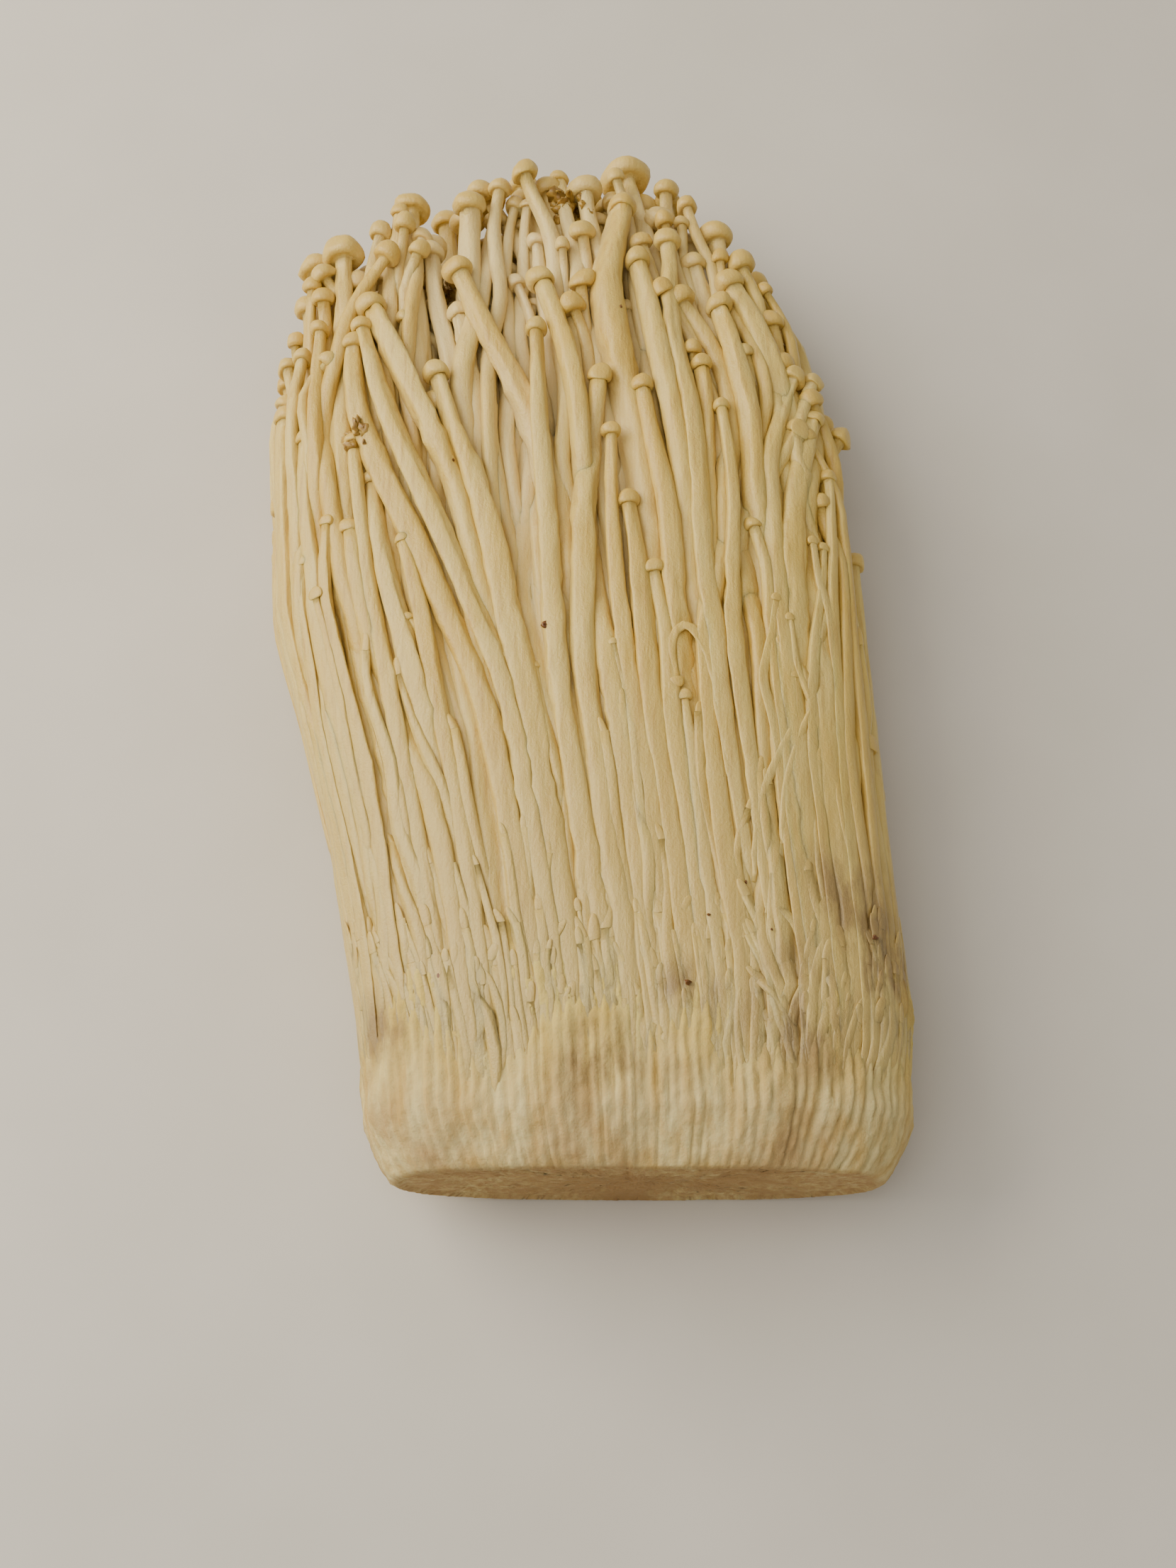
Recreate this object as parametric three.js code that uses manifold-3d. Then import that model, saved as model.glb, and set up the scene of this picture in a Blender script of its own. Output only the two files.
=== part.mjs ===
// A bunch of enoki mushrooms lying on its back, as lifted from its growing bottle.
//
// Slender stems rise side by side from one matted root clump, lean a little to -X and open into
// a fan. Each ends in a small button cap, and the longest make the crown of the fan.
//
// Frame: millimetres, +Z up from the table, +Y along the stems from the root clump to the caps,
// +X across the fan. The origin is on the table, under the middle of the bunch.
//
// Two solids: root_clump, the mat that the stems grow from, and mushrooms, the pale stems and
// caps, fused where they press on one another and to a smaller core inside the bunch.
import * as THREE from "three";
import { mergeVertices } from "three/addons/utils/BufferGeometryUtils.js";
import Module from "manifold-3d";

const wasm = await Module();
wasm.setup();

// ---- driving dimensions, in millimetres ----
const ROOT_END = -83; // cut face of the root clump
const CLUMP_TOP = -66; // where the stems leave the clump
const CROWN = { tip: 82, x: 3, fallsTenAt: { left: 35, right: 21 }, steepness: 3.3 };
const SEAM = 0.3; // gap between the two solids
const PRESSED_FLAT = 0.4; // how much of the underside the table has pressed flat
const CENTRING = { x: -1, y: -0.2 }; // shift that puts the origin under the middle

// The outline of the bunch: distance along the stems, middle across, half width, height.
const BUNCH = [
  [-83, 8.5, 35, 29],
  [-75, 8.5, 38.5, 32],
  [-60, 8, 40, 33.5],
  [-34, 4.5, 41.5, 34],
  [0, -1, 45.5, 34],
  [32, -3, 45.5, 33.5],
  [60, -6, 40, 31],
  [84, -7, 30, 26],
];
const SQUARENESS = 2.8; // exponent of its rounded cross-section

// The mushrooms of the upper face, which are the ones that show most: cap x and y, cap and stem
// diameter, how many layers down the mushroom lies, then x and y of lower points of its stem.
const UPPER_FACE = [
  [-37.5, 63.5, 6.7, 3.2, 1, -36, 47],
  [-26.5, 73.5, 5.7, 2.9, 1, -27, 61, -24.5, 52],
  [-23, 63, 4.5, 2.8, 1, -22, 51, -19.5, 43],
  [-18, 73, 5.8, 3.6, 2, -17, 60],
  [-19, 57, 4.6, 4, 0, -13, 43, -7, 31, -2.5, 12],
  [-32.5, 51, 5.1, 4.1, 0, -26.5, 38, -17.5, 17, -11, -4],
  [-24, 47, 4.3, 2.8, 1, -22.5, 42],
  [-21.5, 37.5, 4.2, 3.2, 0, -17.5, 23, -12, 5, -8, -15],
  [-18.5, 50.5, 3.6, 2.7, 1, -16, 38],
  [-10, 57, 3.1, 2.4, 1, -7, 50],
  [-6, 55, 4.6, 3.4, 0, -3, 46, 0.5, 30, 2, 5],
  [-6.5, 45.5, 3.6, 3.2, 0, -6, 30, -4, 10, -3, -15],
  [-5, 76, 5.7, 3.3, 1, -1.5, 62, 1, 49],
  [-9, 82, 5.1, 3.1, 2, -13.5, 61],
  [-10, 70.5, 3.8, 2.6, 2, -8, 65],
  [-35.5, 44.5, 4.3, 3.2, 0, -33, 28, -22, 4, -13, -17],
  [-33.5, 47, 3.3, 3, 0, -30, 32, -18, 6, -9, -18],
  [-46, 34, 3.8, 3, 1, -45, 13],
  [-42, 28.5, 2.8, 2.2, 1, -41, 18],
  [-34, 26.5, 2.8, 2, 0, -33, 19],
  [-30.5, 20, 3.9, 3.2, 0, -30, 12, -27, -2, -21, -20],
  [-25.5, 9, 2.4, 2.1, 0, -22.5, -2, -19.5, -22],
  [-34.5, 12, 3.5, 3.5, 0, -32.5, 1, -29, -9, -21.5, -28],
  [-38.5, 13, 2.7, 2.5, 0, -37, -4, -31, -30],
  [-41, 7.5, 2.6, 2.1, 1, -41, -8, -36, -30],
  [8, 80.5, 8.2, 3.6, 1, 10, 66],
  [7, 70.5, 4.8, 4.8, 0, 3.5, 54, 6, 41, 9, 22],
  [14.5, 77.5, 5.6, 3.1, 2, 15, 66],
  [14, 63, 4.1, 2.7, 0, 14, 45, 17.5, 30],
  [9, 66, 4.4, 3.1, 1, 10, 59],
  [9, 59, 4.3, 3.5, 0, 11.5, 45, 14.5, 30, 17, 8],
  [22, 67, 5.4, 3.4, 1, 22, 57],
  [24, 56, 4.5, 3.5, 0, 28, 48, 30.5, 41],
  [22, 51, 4.1, 2.9, 0, 24, 40, 26, 30, 27, 12],
  [18, 60, 3.9, 2.8, 1, 21, 45],
  [26, 49, 3.3, 2.8, 1, 28, 29],
  [32, 39, 4, 2.8, 0, 30.5, 29, 29, 14],
  [34.5, 28.5, 3.7, 3.6, 0, 31, 24, 26.5, 19, 23, 10, 21, -10],
  [36.5, 32, 3.6, 3.3, 0, 34.5, 20, 32, 9, 31, -8],
  [18.5, 39, 3.4, 2.8, 0, 19, 13, 19, -15],
  [17.5, 33, 2.6, 2.1, 1, 18, 25],
  [21.5, 31.5, 2.8, 2.6, 0, 23.5, 16, 23, -10],
  [9, 35, 3.6, 3, 0, 11, 25, 13.5, 13, 15, -12],
  [3, 36.5, 3.8, 3.4, 0, 1.5, 25, 1, 12, 1.5, -20],
  [5, 26.5, 2.8, 2.2, 0, 5, 9],
  [8, 15.5, 3.3, 3, 0, 9, 6, 10, -10],
  [7, 51.5, 3.1, 2.8, 1, 9, 41],
  [28, 12, 2.8, 2, 0, 29, 0],
  [1.5, 62.5, 3.1, 2.5, 1, 2, 52],
  [11, 4, 3.2, 2.4, 0, 12.5, -3, 13.5, -20],
  [29, -2, 2.3, 1.8, 0, 28, -12],
  [15, -16, 2.6, 2, 0, 16, -26],
  [-6.5, 65.5, 3.8, 3, 1, -5.5, 56],
  [1.5, 78, 4.6, 3, 2, 1.5, 60],
  [-43.5, 44, 3.2, 2.4, 1, -43.5, 25],
  [-40, 48, 3.2, 2.4, 1, -40, 30],
  [39, 22, 2.6, 2, 0, 38, 5, 38, -15],
  [38, 9, 2.2, 1.8, 0, 36, -6, 34, -22],
];
const LAYER_DEPTH = 4.5; // from one layer of the upper face to the next
const HALFWAY_SHIFT = 0.45; // share of its sideways way that a stem makes by halfway to them
// Where they rise from in the root clump's section: widest place across, height of the top
// layer's, what each layer down takes off that, and how it falls towards the sides.
const UPPER_ROOTS = { widest: 0.97, top: 0.9, perLayer: 0.3, fall: 0.25 };

// The rest of the bunch is laid out by rule, on a sunflower pattern across the root clump.
const PLACES = 75; // places in the pattern, those above the upper share left empty
const UPPER_SHARE = 0.66; // share of the half height above which the upper face takes over
const FAN = { middle: -4, half: 45 }; // where their tips spread to, across the bunch
const STEM_RADIUS = { least: 1.15, most: 1.85 };
const CAP_TO_STEM = { least: 1.35, most: 1.75 };
const STRAY = { across: 0.16, up: 0.2 }; // how far they stray from the pattern, as shares
const DOME = 7; // how far behind the crown the lowest of them end
const SHORTER_SHARE = 0.42; // share of these that end well below the crown
const SHORT_BY = { least: 12, range: 60 }; // how far below it those end
const UNEVEN_BY = 9; // how far below it the others end, at most
const LOWEST_TIP = -30;
const SEED = 20240;

// How the stems settle against one another, at stations along the bunch.
const STATION = 4;
const ROOT_SPREAD = { across: 0.95, up: 0.93 }; // share of the root end that the stems take
const ROUNDS = 70;
const SMOOTHING = 0.22;
const PULL_HOME = 0.02;
const PART_BY = 0.7; // share of an overlap that one round undoes
const UPPER_FACE_EASE = { give: 0.25, pull: 0.1 }; // the same for the upper face's, sideways

// The core, which joins the stems inside the bunch: distance along, share of the cross-section.
const CORE = [
  [CLUMP_TOP + SEAM, 1],
  [-59, 0.97],
  [-46, 0.74],
  [-12, 0.7],
  [26, 0.64],
  [46, 0.32],
];
const CORE_SIDES = 14;
const BURIED = 0.92; // share of the core's section within which a stem is out of sight

// The root clump: distance along, share of the cross-section.
const CLUMP = [
  [ROOT_END, 0.92],
  [ROOT_END + 2, 0.98],
  [ROOT_END + 6, 1.01],
  [ROOT_END + 11, 1],
  [CLUMP_TOP, 1.01],
];
// The fused stem bases that ridge its skin, coarse ones and finer and lower ones over them.
const CLUMP_RIDGES = { around: 23, depth: 0.022, finer: 1.7, lower: 0.6, sidesEach: 4 };

// Stem radius: share at the root, where past the tip it would be back to that, and fullness.
const STEM = { root: 0.6, beyond: 1.15, fullness: 0.7 };

// The cap, in cap radii: its height, the height of its rim, its shoulder, how far its top stands
// beyond the tip of the path, and the least bare stem below it in millimetres.
const CAP = { height: 1.2, rim: 0.2, shoulder: [0.74, 0.9], beyondTip: 0.6, bare: 0.8 };

// Fineness of the solids.
const SIDES = { upper: 5, outer: 5, inner: 4 };
const TABLE = { width: 300, thickness: 20 };
const PATH_TOLERANCE = 1.2; // a built stem keeps within this of the path that it settled on

// ---- the outline of the bunch ----
const mix = (a, b, t) => a + (b - a) * t;

function bunchAt(y) {
  const last = BUNCH.length - 1;
  const at = Math.min(Math.max(y, BUNCH[0][0]), BUNCH[last][0]);
  const row = Math.min(last - 1, BUNCH.findLastIndex((entry) => entry[0] <= at));
  const t = (at - BUNCH[row][0]) / (BUNCH[row + 1][0] - BUNCH[row][0]);
  const [middle, half, height] = [1, 2, 3].map((c) => mix(BUNCH[row][c], BUNCH[row + 1][c], t));
  return { middle, half, height };
}

// How far out (p, q) lies, where 1 is on the outline of a unit cross-section.
function sectionRadius(p, q) {
  return (Math.abs(p) ** SQUARENESS + Math.abs(q) ** SQUARENESS) ** (1 / SQUARENESS);
}

// The same for a point x, z of the bunch at a distance along it.
function outness(x, y, z) {
  const { middle, half, height } = bunchAt(y);
  return sectionRadius((x - middle) / half, (2 * z) / height - 1);
}

// The tip of the longest mushrooms at a place across the fan.
function crownAt(x) {
  const away = x - CROWN.x;
  const reach = away < 0 ? CROWN.fallsTenAt.left : CROWN.fallsTenAt.right;
  return CROWN.tip - 10 * (Math.abs(away) / reach) ** CROWN.steepness;
}

// ---- the mushrooms ----
// A seeded stream of numbers from 0 to 1.
function seeded(seed) {
  let state = seed >>> 0;
  return () => {
    state = (state + 0x6d2b79f5) >>> 0;
    let t = Math.imul(state ^ (state >>> 15), 1 | state);
    t = (t + Math.imul(t ^ (t >>> 7), 61 | t)) ^ t;
    return ((t ^ (t >>> 14)) >>> 0) / 4294967296;
  };
}

// Stem radius at a share of the way up: thin at the root, full past the middle, then a neck.
function stemShape(t) {
  const bulge = Math.sin(Math.PI * Math.min(1, t / STEM.beyond)) ** STEM.fullness;
  return STEM.root + (1 - STEM.root) * bulge;
}

// A point's place in the bunch: distance along, and from -1 to 1 across and up its section.
function placeOf(x, y, z) {
  const { middle, half, height } = bunchAt(y);
  return [y, (x - middle) / half, (2 * z) / height - 1];
}

// A mushroom before the stems settle. root and tip are places in the bunch, and so are those
// that its stem runs through, from the lowest up.
function lay({ root, tip, through, cap, stem, upper }) {
  const points = [[ROOT_END, ROOT_SPREAD.across * root[0], ROOT_SPREAD.up * root[1]]];
  if (through.length) {
    const [y, across, up] = through[0];
    points.push([mix(ROOT_END, y, 0.5), mix(points[0][1], across, HALFWAY_SHIFT), up]);
  }
  points.push(...through, tip);
  const path = [];
  const radius = [];
  for (let y = ROOT_END; y <= tip[0] + 1e-9; y += STATION) {
    const k = Math.max(1, points.findIndex((point) => point[0] >= y));
    const [a, b] = [points[k - 1], points[k]];
    const t = (y - a[0]) / (b[0] - a[0]);
    const eased = upper ? t : mix(t, t * t * (3 - 2 * t), 0.5);
    const { middle, half, height } = bunchAt(y);
    path.push([
      middle + half * mix(a[1], b[1], eased),
      (height / 2) * (1 + mix(a[2], b[2], eased)),
    ]);
    const up = (y - ROOT_END) / (tip[0] - ROOT_END);
    radius.push(tip[0] - y < STATION ? cap : stem * stemShape(up));
  }
  return { cap, stem, upper, tipY: tip[0], path, radius, home: path.map((at) => [...at]) };
}

function upperFace() {
  return UPPER_FACE.map(([x, y, capWidth, stemWidth, layer, ...lower]) => {
    const [cap, stem] = [capWidth / 2, stemWidth / 2];
    const under = (px, py, radius) =>
      placeOf(px, py, bunchAt(py).height - radius - layer * LAYER_DEPTH);
    const through = [];
    for (let i = lower.length - 2; i >= 0; i -= 2) {
      through.push(under(lower[i], lower[i + 1], stem));
    }
    const { widest, top, perLayer, fall } = UPPER_ROOTS;
    const across = Math.max(-widest, Math.min(widest, through[0][1]));
    const root = [across, top - perLayer * layer - fall * across * across];
    return lay({ root, tip: under(x, y, cap), through, cap, stem, upper: true });
  });
}

function restOfBunch() {
  const random = seeded(SEED);
  const made = [];
  for (let i = 0; i < PLACES; i++) {
    const turn = i * Math.PI * (3 - Math.sqrt(5));
    const [p, q] = [Math.cos(turn), Math.sin(turn)];
    const out = Math.sqrt((i + 0.5) / PLACES) / sectionRadius(p, q);
    const root = [p * out, q * out];
    const draw = Array.from({ length: 6 }, random);
    if (root[1] > UPPER_SHARE) continue;
    const stem = mix(STEM_RADIUS.least, STEM_RADIUS.most, draw[0]);
    const cap = stem * mix(CAP_TO_STEM.least, CAP_TO_STEM.most, draw[1]);
    const across = root[0] + STRAY.across * (draw[2] - 0.5);
    const up = root[1] + STRAY.up * (draw[3] - 0.5);
    const x = FAN.middle + FAN.half * across;
    const isShort = draw[4] < SHORTER_SHARE;
    const shortBy = isShort ? SHORT_BY.least + SHORT_BY.range * draw[5] : UNEVEN_BY * draw[5];
    const y = Math.max(LOWEST_TIP, crownAt(x) - DOME * up * up - shortBy);
    const tip = placeOf(x, y, (bunchAt(y).height / 2) * (1 + up));
    made.push(lay({ root, tip, through: [], cap, stem, upper: false }));
  }
  return made;
}

// Settles the stems: at every station, stems that overlap part, and all stay on the table and
// inside the bunch. Those of the upper face give way in height and mostly keep their x.
function settle(bunch) {
  const stations = Math.max(...bunch.map((m) => m.path.length));
  for (let round = 0; round < ROUNDS; round++) {
    for (let k = 0; k < stations; k++) partStems(bunch.filter((m) => m.path.length > k), k);
    bunch.forEach(smoothPath);
  }
}

function partStems(here, k) {
  const push = here.map(() => [0, 0]);
  for (let i = 0; i < here.length; i++) {
    for (let j = i + 1; j < here.length; j++) {
      const [dx, dz] = [0, 1].map((c) => here[j].path[k][c] - here[i].path[k][c]);
      const apart = Math.hypot(dx, dz) || 1e-6;
      const overlap = here[i].radius[k] + here[j].radius[k] - apart;
      if (overlap <= 0) continue;
      const by = overlap / 2 / apart;
      push[i][0] -= dx * by;
      push[i][1] -= dz * by;
      push[j][0] += dx * by;
      push[j][1] += dz * by;
    }
  }
  const { middle, half, height } = bunchAt(ROOT_END + k * STATION);
  here.forEach((m, i) => {
    const at = m.path[k];
    const radius = m.radius[k];
    const { give, pull } = m.upper ? UPPER_FACE_EASE : { give: 1, pull: PULL_HOME };
    at[0] += PART_BY * give * push[i][0] + pull * (m.home[k][0] - at[0]);
    at[1] += PART_BY * push[i][1] + PULL_HOME * (m.home[k][1] - at[1]);
    const p = (at[0] - middle) / (half - radius);
    const q = (2 * at[1] - height) / (height - 2 * radius);
    const out = sectionRadius(p, q);
    if (out > 1) {
      at[0] = middle + (at[0] - middle) * mix(1, 1 / out, give);
      at[1] = height / 2 + (at[1] - height / 2) / out;
    }
    at[1] = Math.max(at[1], radius);
  });
}

function smoothPath({ path }) {
  const before = path.map((at) => [...at]);
  for (let k = 1; k < path.length - 1; k++) {
    for (const c of [0, 1]) {
      const between = (before[k - 1][c] + before[k + 1][c]) / 2;
      path[k][c] = mix(before[k][c], between, SMOOTHING);
    }
  }
}

// ---- solids ----
// A closed geometry as a manifold-3d solid.
function solid(geometry) {
  geometry.deleteAttribute("normal");
  geometry.deleteAttribute("uv");
  const merged = mergeVertices(geometry, 1e-4);
  const corners = [];
  for (let i = 0; i < merged.index.count; i += 3) {
    const [a, b, c] = merged.index.array.slice(i, i + 3);
    if (a !== b && b !== c && c !== a) corners.push(a, b, c);
  }
  return new wasm.Manifold(
    new wasm.Mesh({
      numProp: 3,
      vertProperties: merged.attributes.position.array,
      triVerts: new Uint32Array(corners),
    }),
  );
}

function geometryOf(manifold) {
  const mesh = manifold.getMesh();
  const geometry = new THREE.BufferGeometry();
  geometry.setAttribute("position", new THREE.BufferAttribute(mesh.vertProperties, 3));
  geometry.setIndex(new THREE.BufferAttribute(mesh.triVerts, 1));
  geometry.computeVertexNormals();
  return geometry;
}

// Moves every vertex of a geometry to where place(vertex) puts it.
function reshape(geometry, place) {
  const at = geometry.attributes.position;
  const v = new THREE.Vector3();
  for (let i = 0; i < at.count; i++) {
    v.fromBufferAttribute(at, i);
    place(v);
    at.setXYZ(i, v.x, v.y, v.z);
  }
  return geometry;
}

// The stations between two that a path needs, to keep within the tolerance.
function keyStations(path, first, last) {
  let worst = 0;
  let furthest = PATH_TOLERANCE;
  for (let k = first + 1; k < last; k++) {
    const t = (k - first) / (last - first);
    const off = [0, 1].map((c) => path[k][c] - mix(path[first][c], path[last][c], t));
    const miss = Math.hypot(...off);
    if (miss > furthest) [worst, furthest] = [k, miss];
  }
  if (!worst) return [first, last];
  return [...keyStations(path, first, worst), ...keyStations(path, worst, last).slice(1)];
}

// The centreline of a mushroom from a station up to the top of its cap.
function centreline(m, first) {
  const last = m.path.length - 1;
  const pointAt = (k) => new THREE.Vector3(m.path[k][0], ROOT_END + k * STATION, m.path[k][1]);
  const points = keyStations(m.path, first, last).map(pointAt);
  const onward = pointAt(last).sub(pointAt(last - 1)).normalize();
  const beyond = m.tipY - (ROOT_END + last * STATION) + CAP.beyondTip * m.cap;
  points.push(pointAt(last).addScaledVector(onward, beyond));
  return points;
}

// A stem and its cap, turned about +Y and then bent along its centreline.
function mushroomSolid(m, first, sides) {
  const points = centreline(m, first);
  const reached = [0];
  points.slice(1).forEach((p, i) => reached.push(reached[i] + p.distanceTo(points[i])));
  const length = reached[reached.length - 1];
  const lip = length - CAP.height * m.cap;
  const girth = (y) => m.stem * stemShape((y - ROOT_END) / (m.tipY - ROOT_END));

  const profile = [new THREE.Vector2(0, 0)];
  points.forEach((p, i) => {
    if (reached[i] < lip - CAP.bare) profile.push(new THREE.Vector2(girth(p.y), reached[i]));
  });
  profile.push(new THREE.Vector2(girth(m.tipY), lip));
  profile.push(new THREE.Vector2(m.cap, lip + CAP.rim * m.cap));
  profile.push(new THREE.Vector2(CAP.shoulder[0] * m.cap, lip + CAP.shoulder[1] * m.cap));
  profile.push(new THREE.Vector2(0, length));

  const headings = points.map((_, i) => {
    const onward = points[Math.min(points.length - 1, i + 1)];
    return onward.clone().sub(points[Math.max(0, i - 1)]).normalize();
  });
  const skyward = new THREE.Vector3(0, 0, 1);
  const bend = (v) => {
    const along = Math.min(v.y, length);
    const after = Math.max(1, reached.findIndex((r) => r >= along));
    const t = (along - reached[after - 1]) / (reached[after] - reached[after - 1]);
    const heading = headings[after - 1].clone().lerp(headings[after], t).normalize();
    const side = heading.clone().cross(skyward).normalize();
    const up = side.clone().cross(heading);
    const [across, lift] = [v.x, v.z];
    v.lerpVectors(points[after - 1], points[after], t);
    v.addScaledVector(side, across).addScaledVector(up, lift);
  };
  return solid(reshape(new THREE.LatheGeometry(profile, sides), bend));
}

// A barrel along the bunch through rows of [distance along, share of the cross-section], with
// ridge(angle) added to the share.
function barrel(rows, around, ridge) {
  const place = (v) => {
    const row = Math.round((v.y + 0.5) * (rows.length - 1));
    const [y, share] = rows[row];
    const { middle, half, height } = bunchAt(y);
    const inside = Math.hypot(v.x, v.z);
    const [p, q] = inside > 1e-6 ? [v.x / inside, v.z / inside] : [1, 0];
    const out = (inside * (share + ridge(Math.atan2(q, p)))) / sectionRadius(p, q);
    v.set(middle + half * p * out, y, (height / 2) * (1 + q * out));
  };
  return solid(reshape(new THREE.CylinderGeometry(1, 1, 1, around, rows.length - 1), place));
}

// Everything that the table has pressed flat.
function table() {
  const slab = new THREE.BoxGeometry(TABLE.width, TABLE.width, TABLE.thickness);
  slab.translate(0, 0, PRESSED_FLAT - TABLE.thickness / 2);
  return solid(slab);
}

// The largest connected skin of a solid, which leaves out the sealed hollows between stems.
function outermost(manifold) {
  return manifold.decompose().reduce((a, b) => (a.volume() >= b.volume() ? a : b));
}

// ---- the two pieces ----
// The share of the section that the core takes at a distance along the bunch, 0 beyond it.
function coreShareAt(y) {
  const row = CORE.findIndex((entry) => entry[0] > y);
  if (row < 1) return 0;
  const [[fromY, from], [toY, to]] = [CORE[row - 1], CORE[row]];
  return mix(from, to, (y - fromY) / (toY - fromY));
}

// The last station at which a mushroom's stem is still buried in the core, or the first one
// above the root clump for a stem that lies outside the core all the way.
function buriedUpTo(m) {
  const lowest = Math.ceil((CLUMP_TOP + SEAM - ROOT_END) / STATION);
  const buried = m.path.findLastIndex(([x, z], k) => {
    const y = ROOT_END + k * STATION;
    return outness(x, y, z) < BURIED * coreShareAt(y);
  });
  return Math.max(lowest, buried);
}

function mushrooms() {
  const bunch = [...upperFace(), ...restOfBunch()];
  settle(bunch);
  const solids = [barrel(CORE, CORE_SIDES, () => 0)];
  for (const m of bunch) {
    const buried = buriedUpTo(m);
    if (buried >= m.path.length - 2) continue;
    const inner = ROOT_END + buried * STATION > 0;
    const sides = m.upper ? SIDES.upper : inner ? SIDES.inner : SIDES.outer;
    solids.push(mushroomSolid(m, buried, sides));
  }
  return outermost(wasm.Manifold.union(solids).subtract(table()));
}

function rootClump() {
  const { around, depth, finer, lower, sidesEach } = CLUMP_RIDGES;
  const ridge = (angle) =>
    depth * (Math.sin(around * angle) + lower * Math.sin(finer * around * angle));
  return barrel(CLUMP, sidesEach * around, ridge).subtract(table());
}

function piece(name, manifold, color, roughness) {
  const material = new THREE.MeshStandardMaterial({ color, roughness, metalness: 0 });
  const mesh = new THREE.Mesh(geometryOf(manifold), material);
  mesh.name = name;
  mesh.position.set(CENTRING.x, CENTRING.y, -PRESSED_FLAT);
  return mesh;
}

const bunch = new THREE.Group();
bunch.add(piece("mushrooms", mushrooms(), "#e9dcb4", 0.45));
bunch.add(piece("root_clump", rootClump(), "#cdbb93", 0.85));
export default bunch;
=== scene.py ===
"""A bunch of enoki mushrooms lying on its back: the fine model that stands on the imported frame.

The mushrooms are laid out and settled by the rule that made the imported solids, so each stands
where its solid does. Slimmer and shorter ones, too fine for the solids, then fill the gaps.
Lengths are in millimetres until a mesh is made, and in metres from there on. A place (p, q) is
across and up a unit cross-section of the bunch, from -1 to 1.
"""

import math
from collections import namedtuple

import bpy
import numpy as np
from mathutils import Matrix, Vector, noise


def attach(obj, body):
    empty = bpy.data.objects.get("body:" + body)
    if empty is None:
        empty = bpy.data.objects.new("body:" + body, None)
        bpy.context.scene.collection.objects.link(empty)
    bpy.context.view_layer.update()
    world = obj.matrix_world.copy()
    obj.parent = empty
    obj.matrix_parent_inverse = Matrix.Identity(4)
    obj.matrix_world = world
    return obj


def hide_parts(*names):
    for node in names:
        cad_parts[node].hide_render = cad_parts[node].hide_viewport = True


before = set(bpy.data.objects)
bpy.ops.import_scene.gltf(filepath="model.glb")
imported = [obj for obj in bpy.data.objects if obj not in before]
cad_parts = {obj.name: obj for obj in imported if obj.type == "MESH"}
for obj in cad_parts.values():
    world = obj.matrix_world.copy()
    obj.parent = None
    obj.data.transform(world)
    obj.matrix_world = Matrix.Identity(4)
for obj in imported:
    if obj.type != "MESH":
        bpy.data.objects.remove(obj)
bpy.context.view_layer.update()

MM = 0.001
FULL_TURN = 2 * math.pi
TINY = 1e-6

# ---- the bunch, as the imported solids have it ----
ROOT_END = -83  # cut face of the root clump
CLUMP_TOP = -66  # where the stems leave the clump
CROWN_TIP = 82  # tip of the longest mushroom
CROWN_X = 3
CROWN_FALL = 10
CROWN_FALLS_AT = {"left": 35, "right": 21}  # how far from its middle it has fallen by that much
CROWN_STEEPNESS = 3.3
PRESSED_FLAT = 0.4  # how much of the underside the table has pressed flat
CENTRING = (-1.0, -0.2)  # shift that puts the origin under the middle
SQUARENESS = 2.8  # exponent of the rounded cross-section
STATION = 4  # spacing of the stations along the stems

# The outline of the bunch: distance along the stems, middle across, half width, height.
BUNCH = np.array([
    (-83, 8.5, 35, 29),
    (-75, 8.5, 38.5, 32),
    (-60, 8, 40, 33.5),
    (-34, 4.5, 41.5, 34),
    (0, -1, 45.5, 34),
    (32, -3, 45.5, 33.5),
    (60, -6, 40, 31),
    (84, -7, 30, 26),
])

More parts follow.
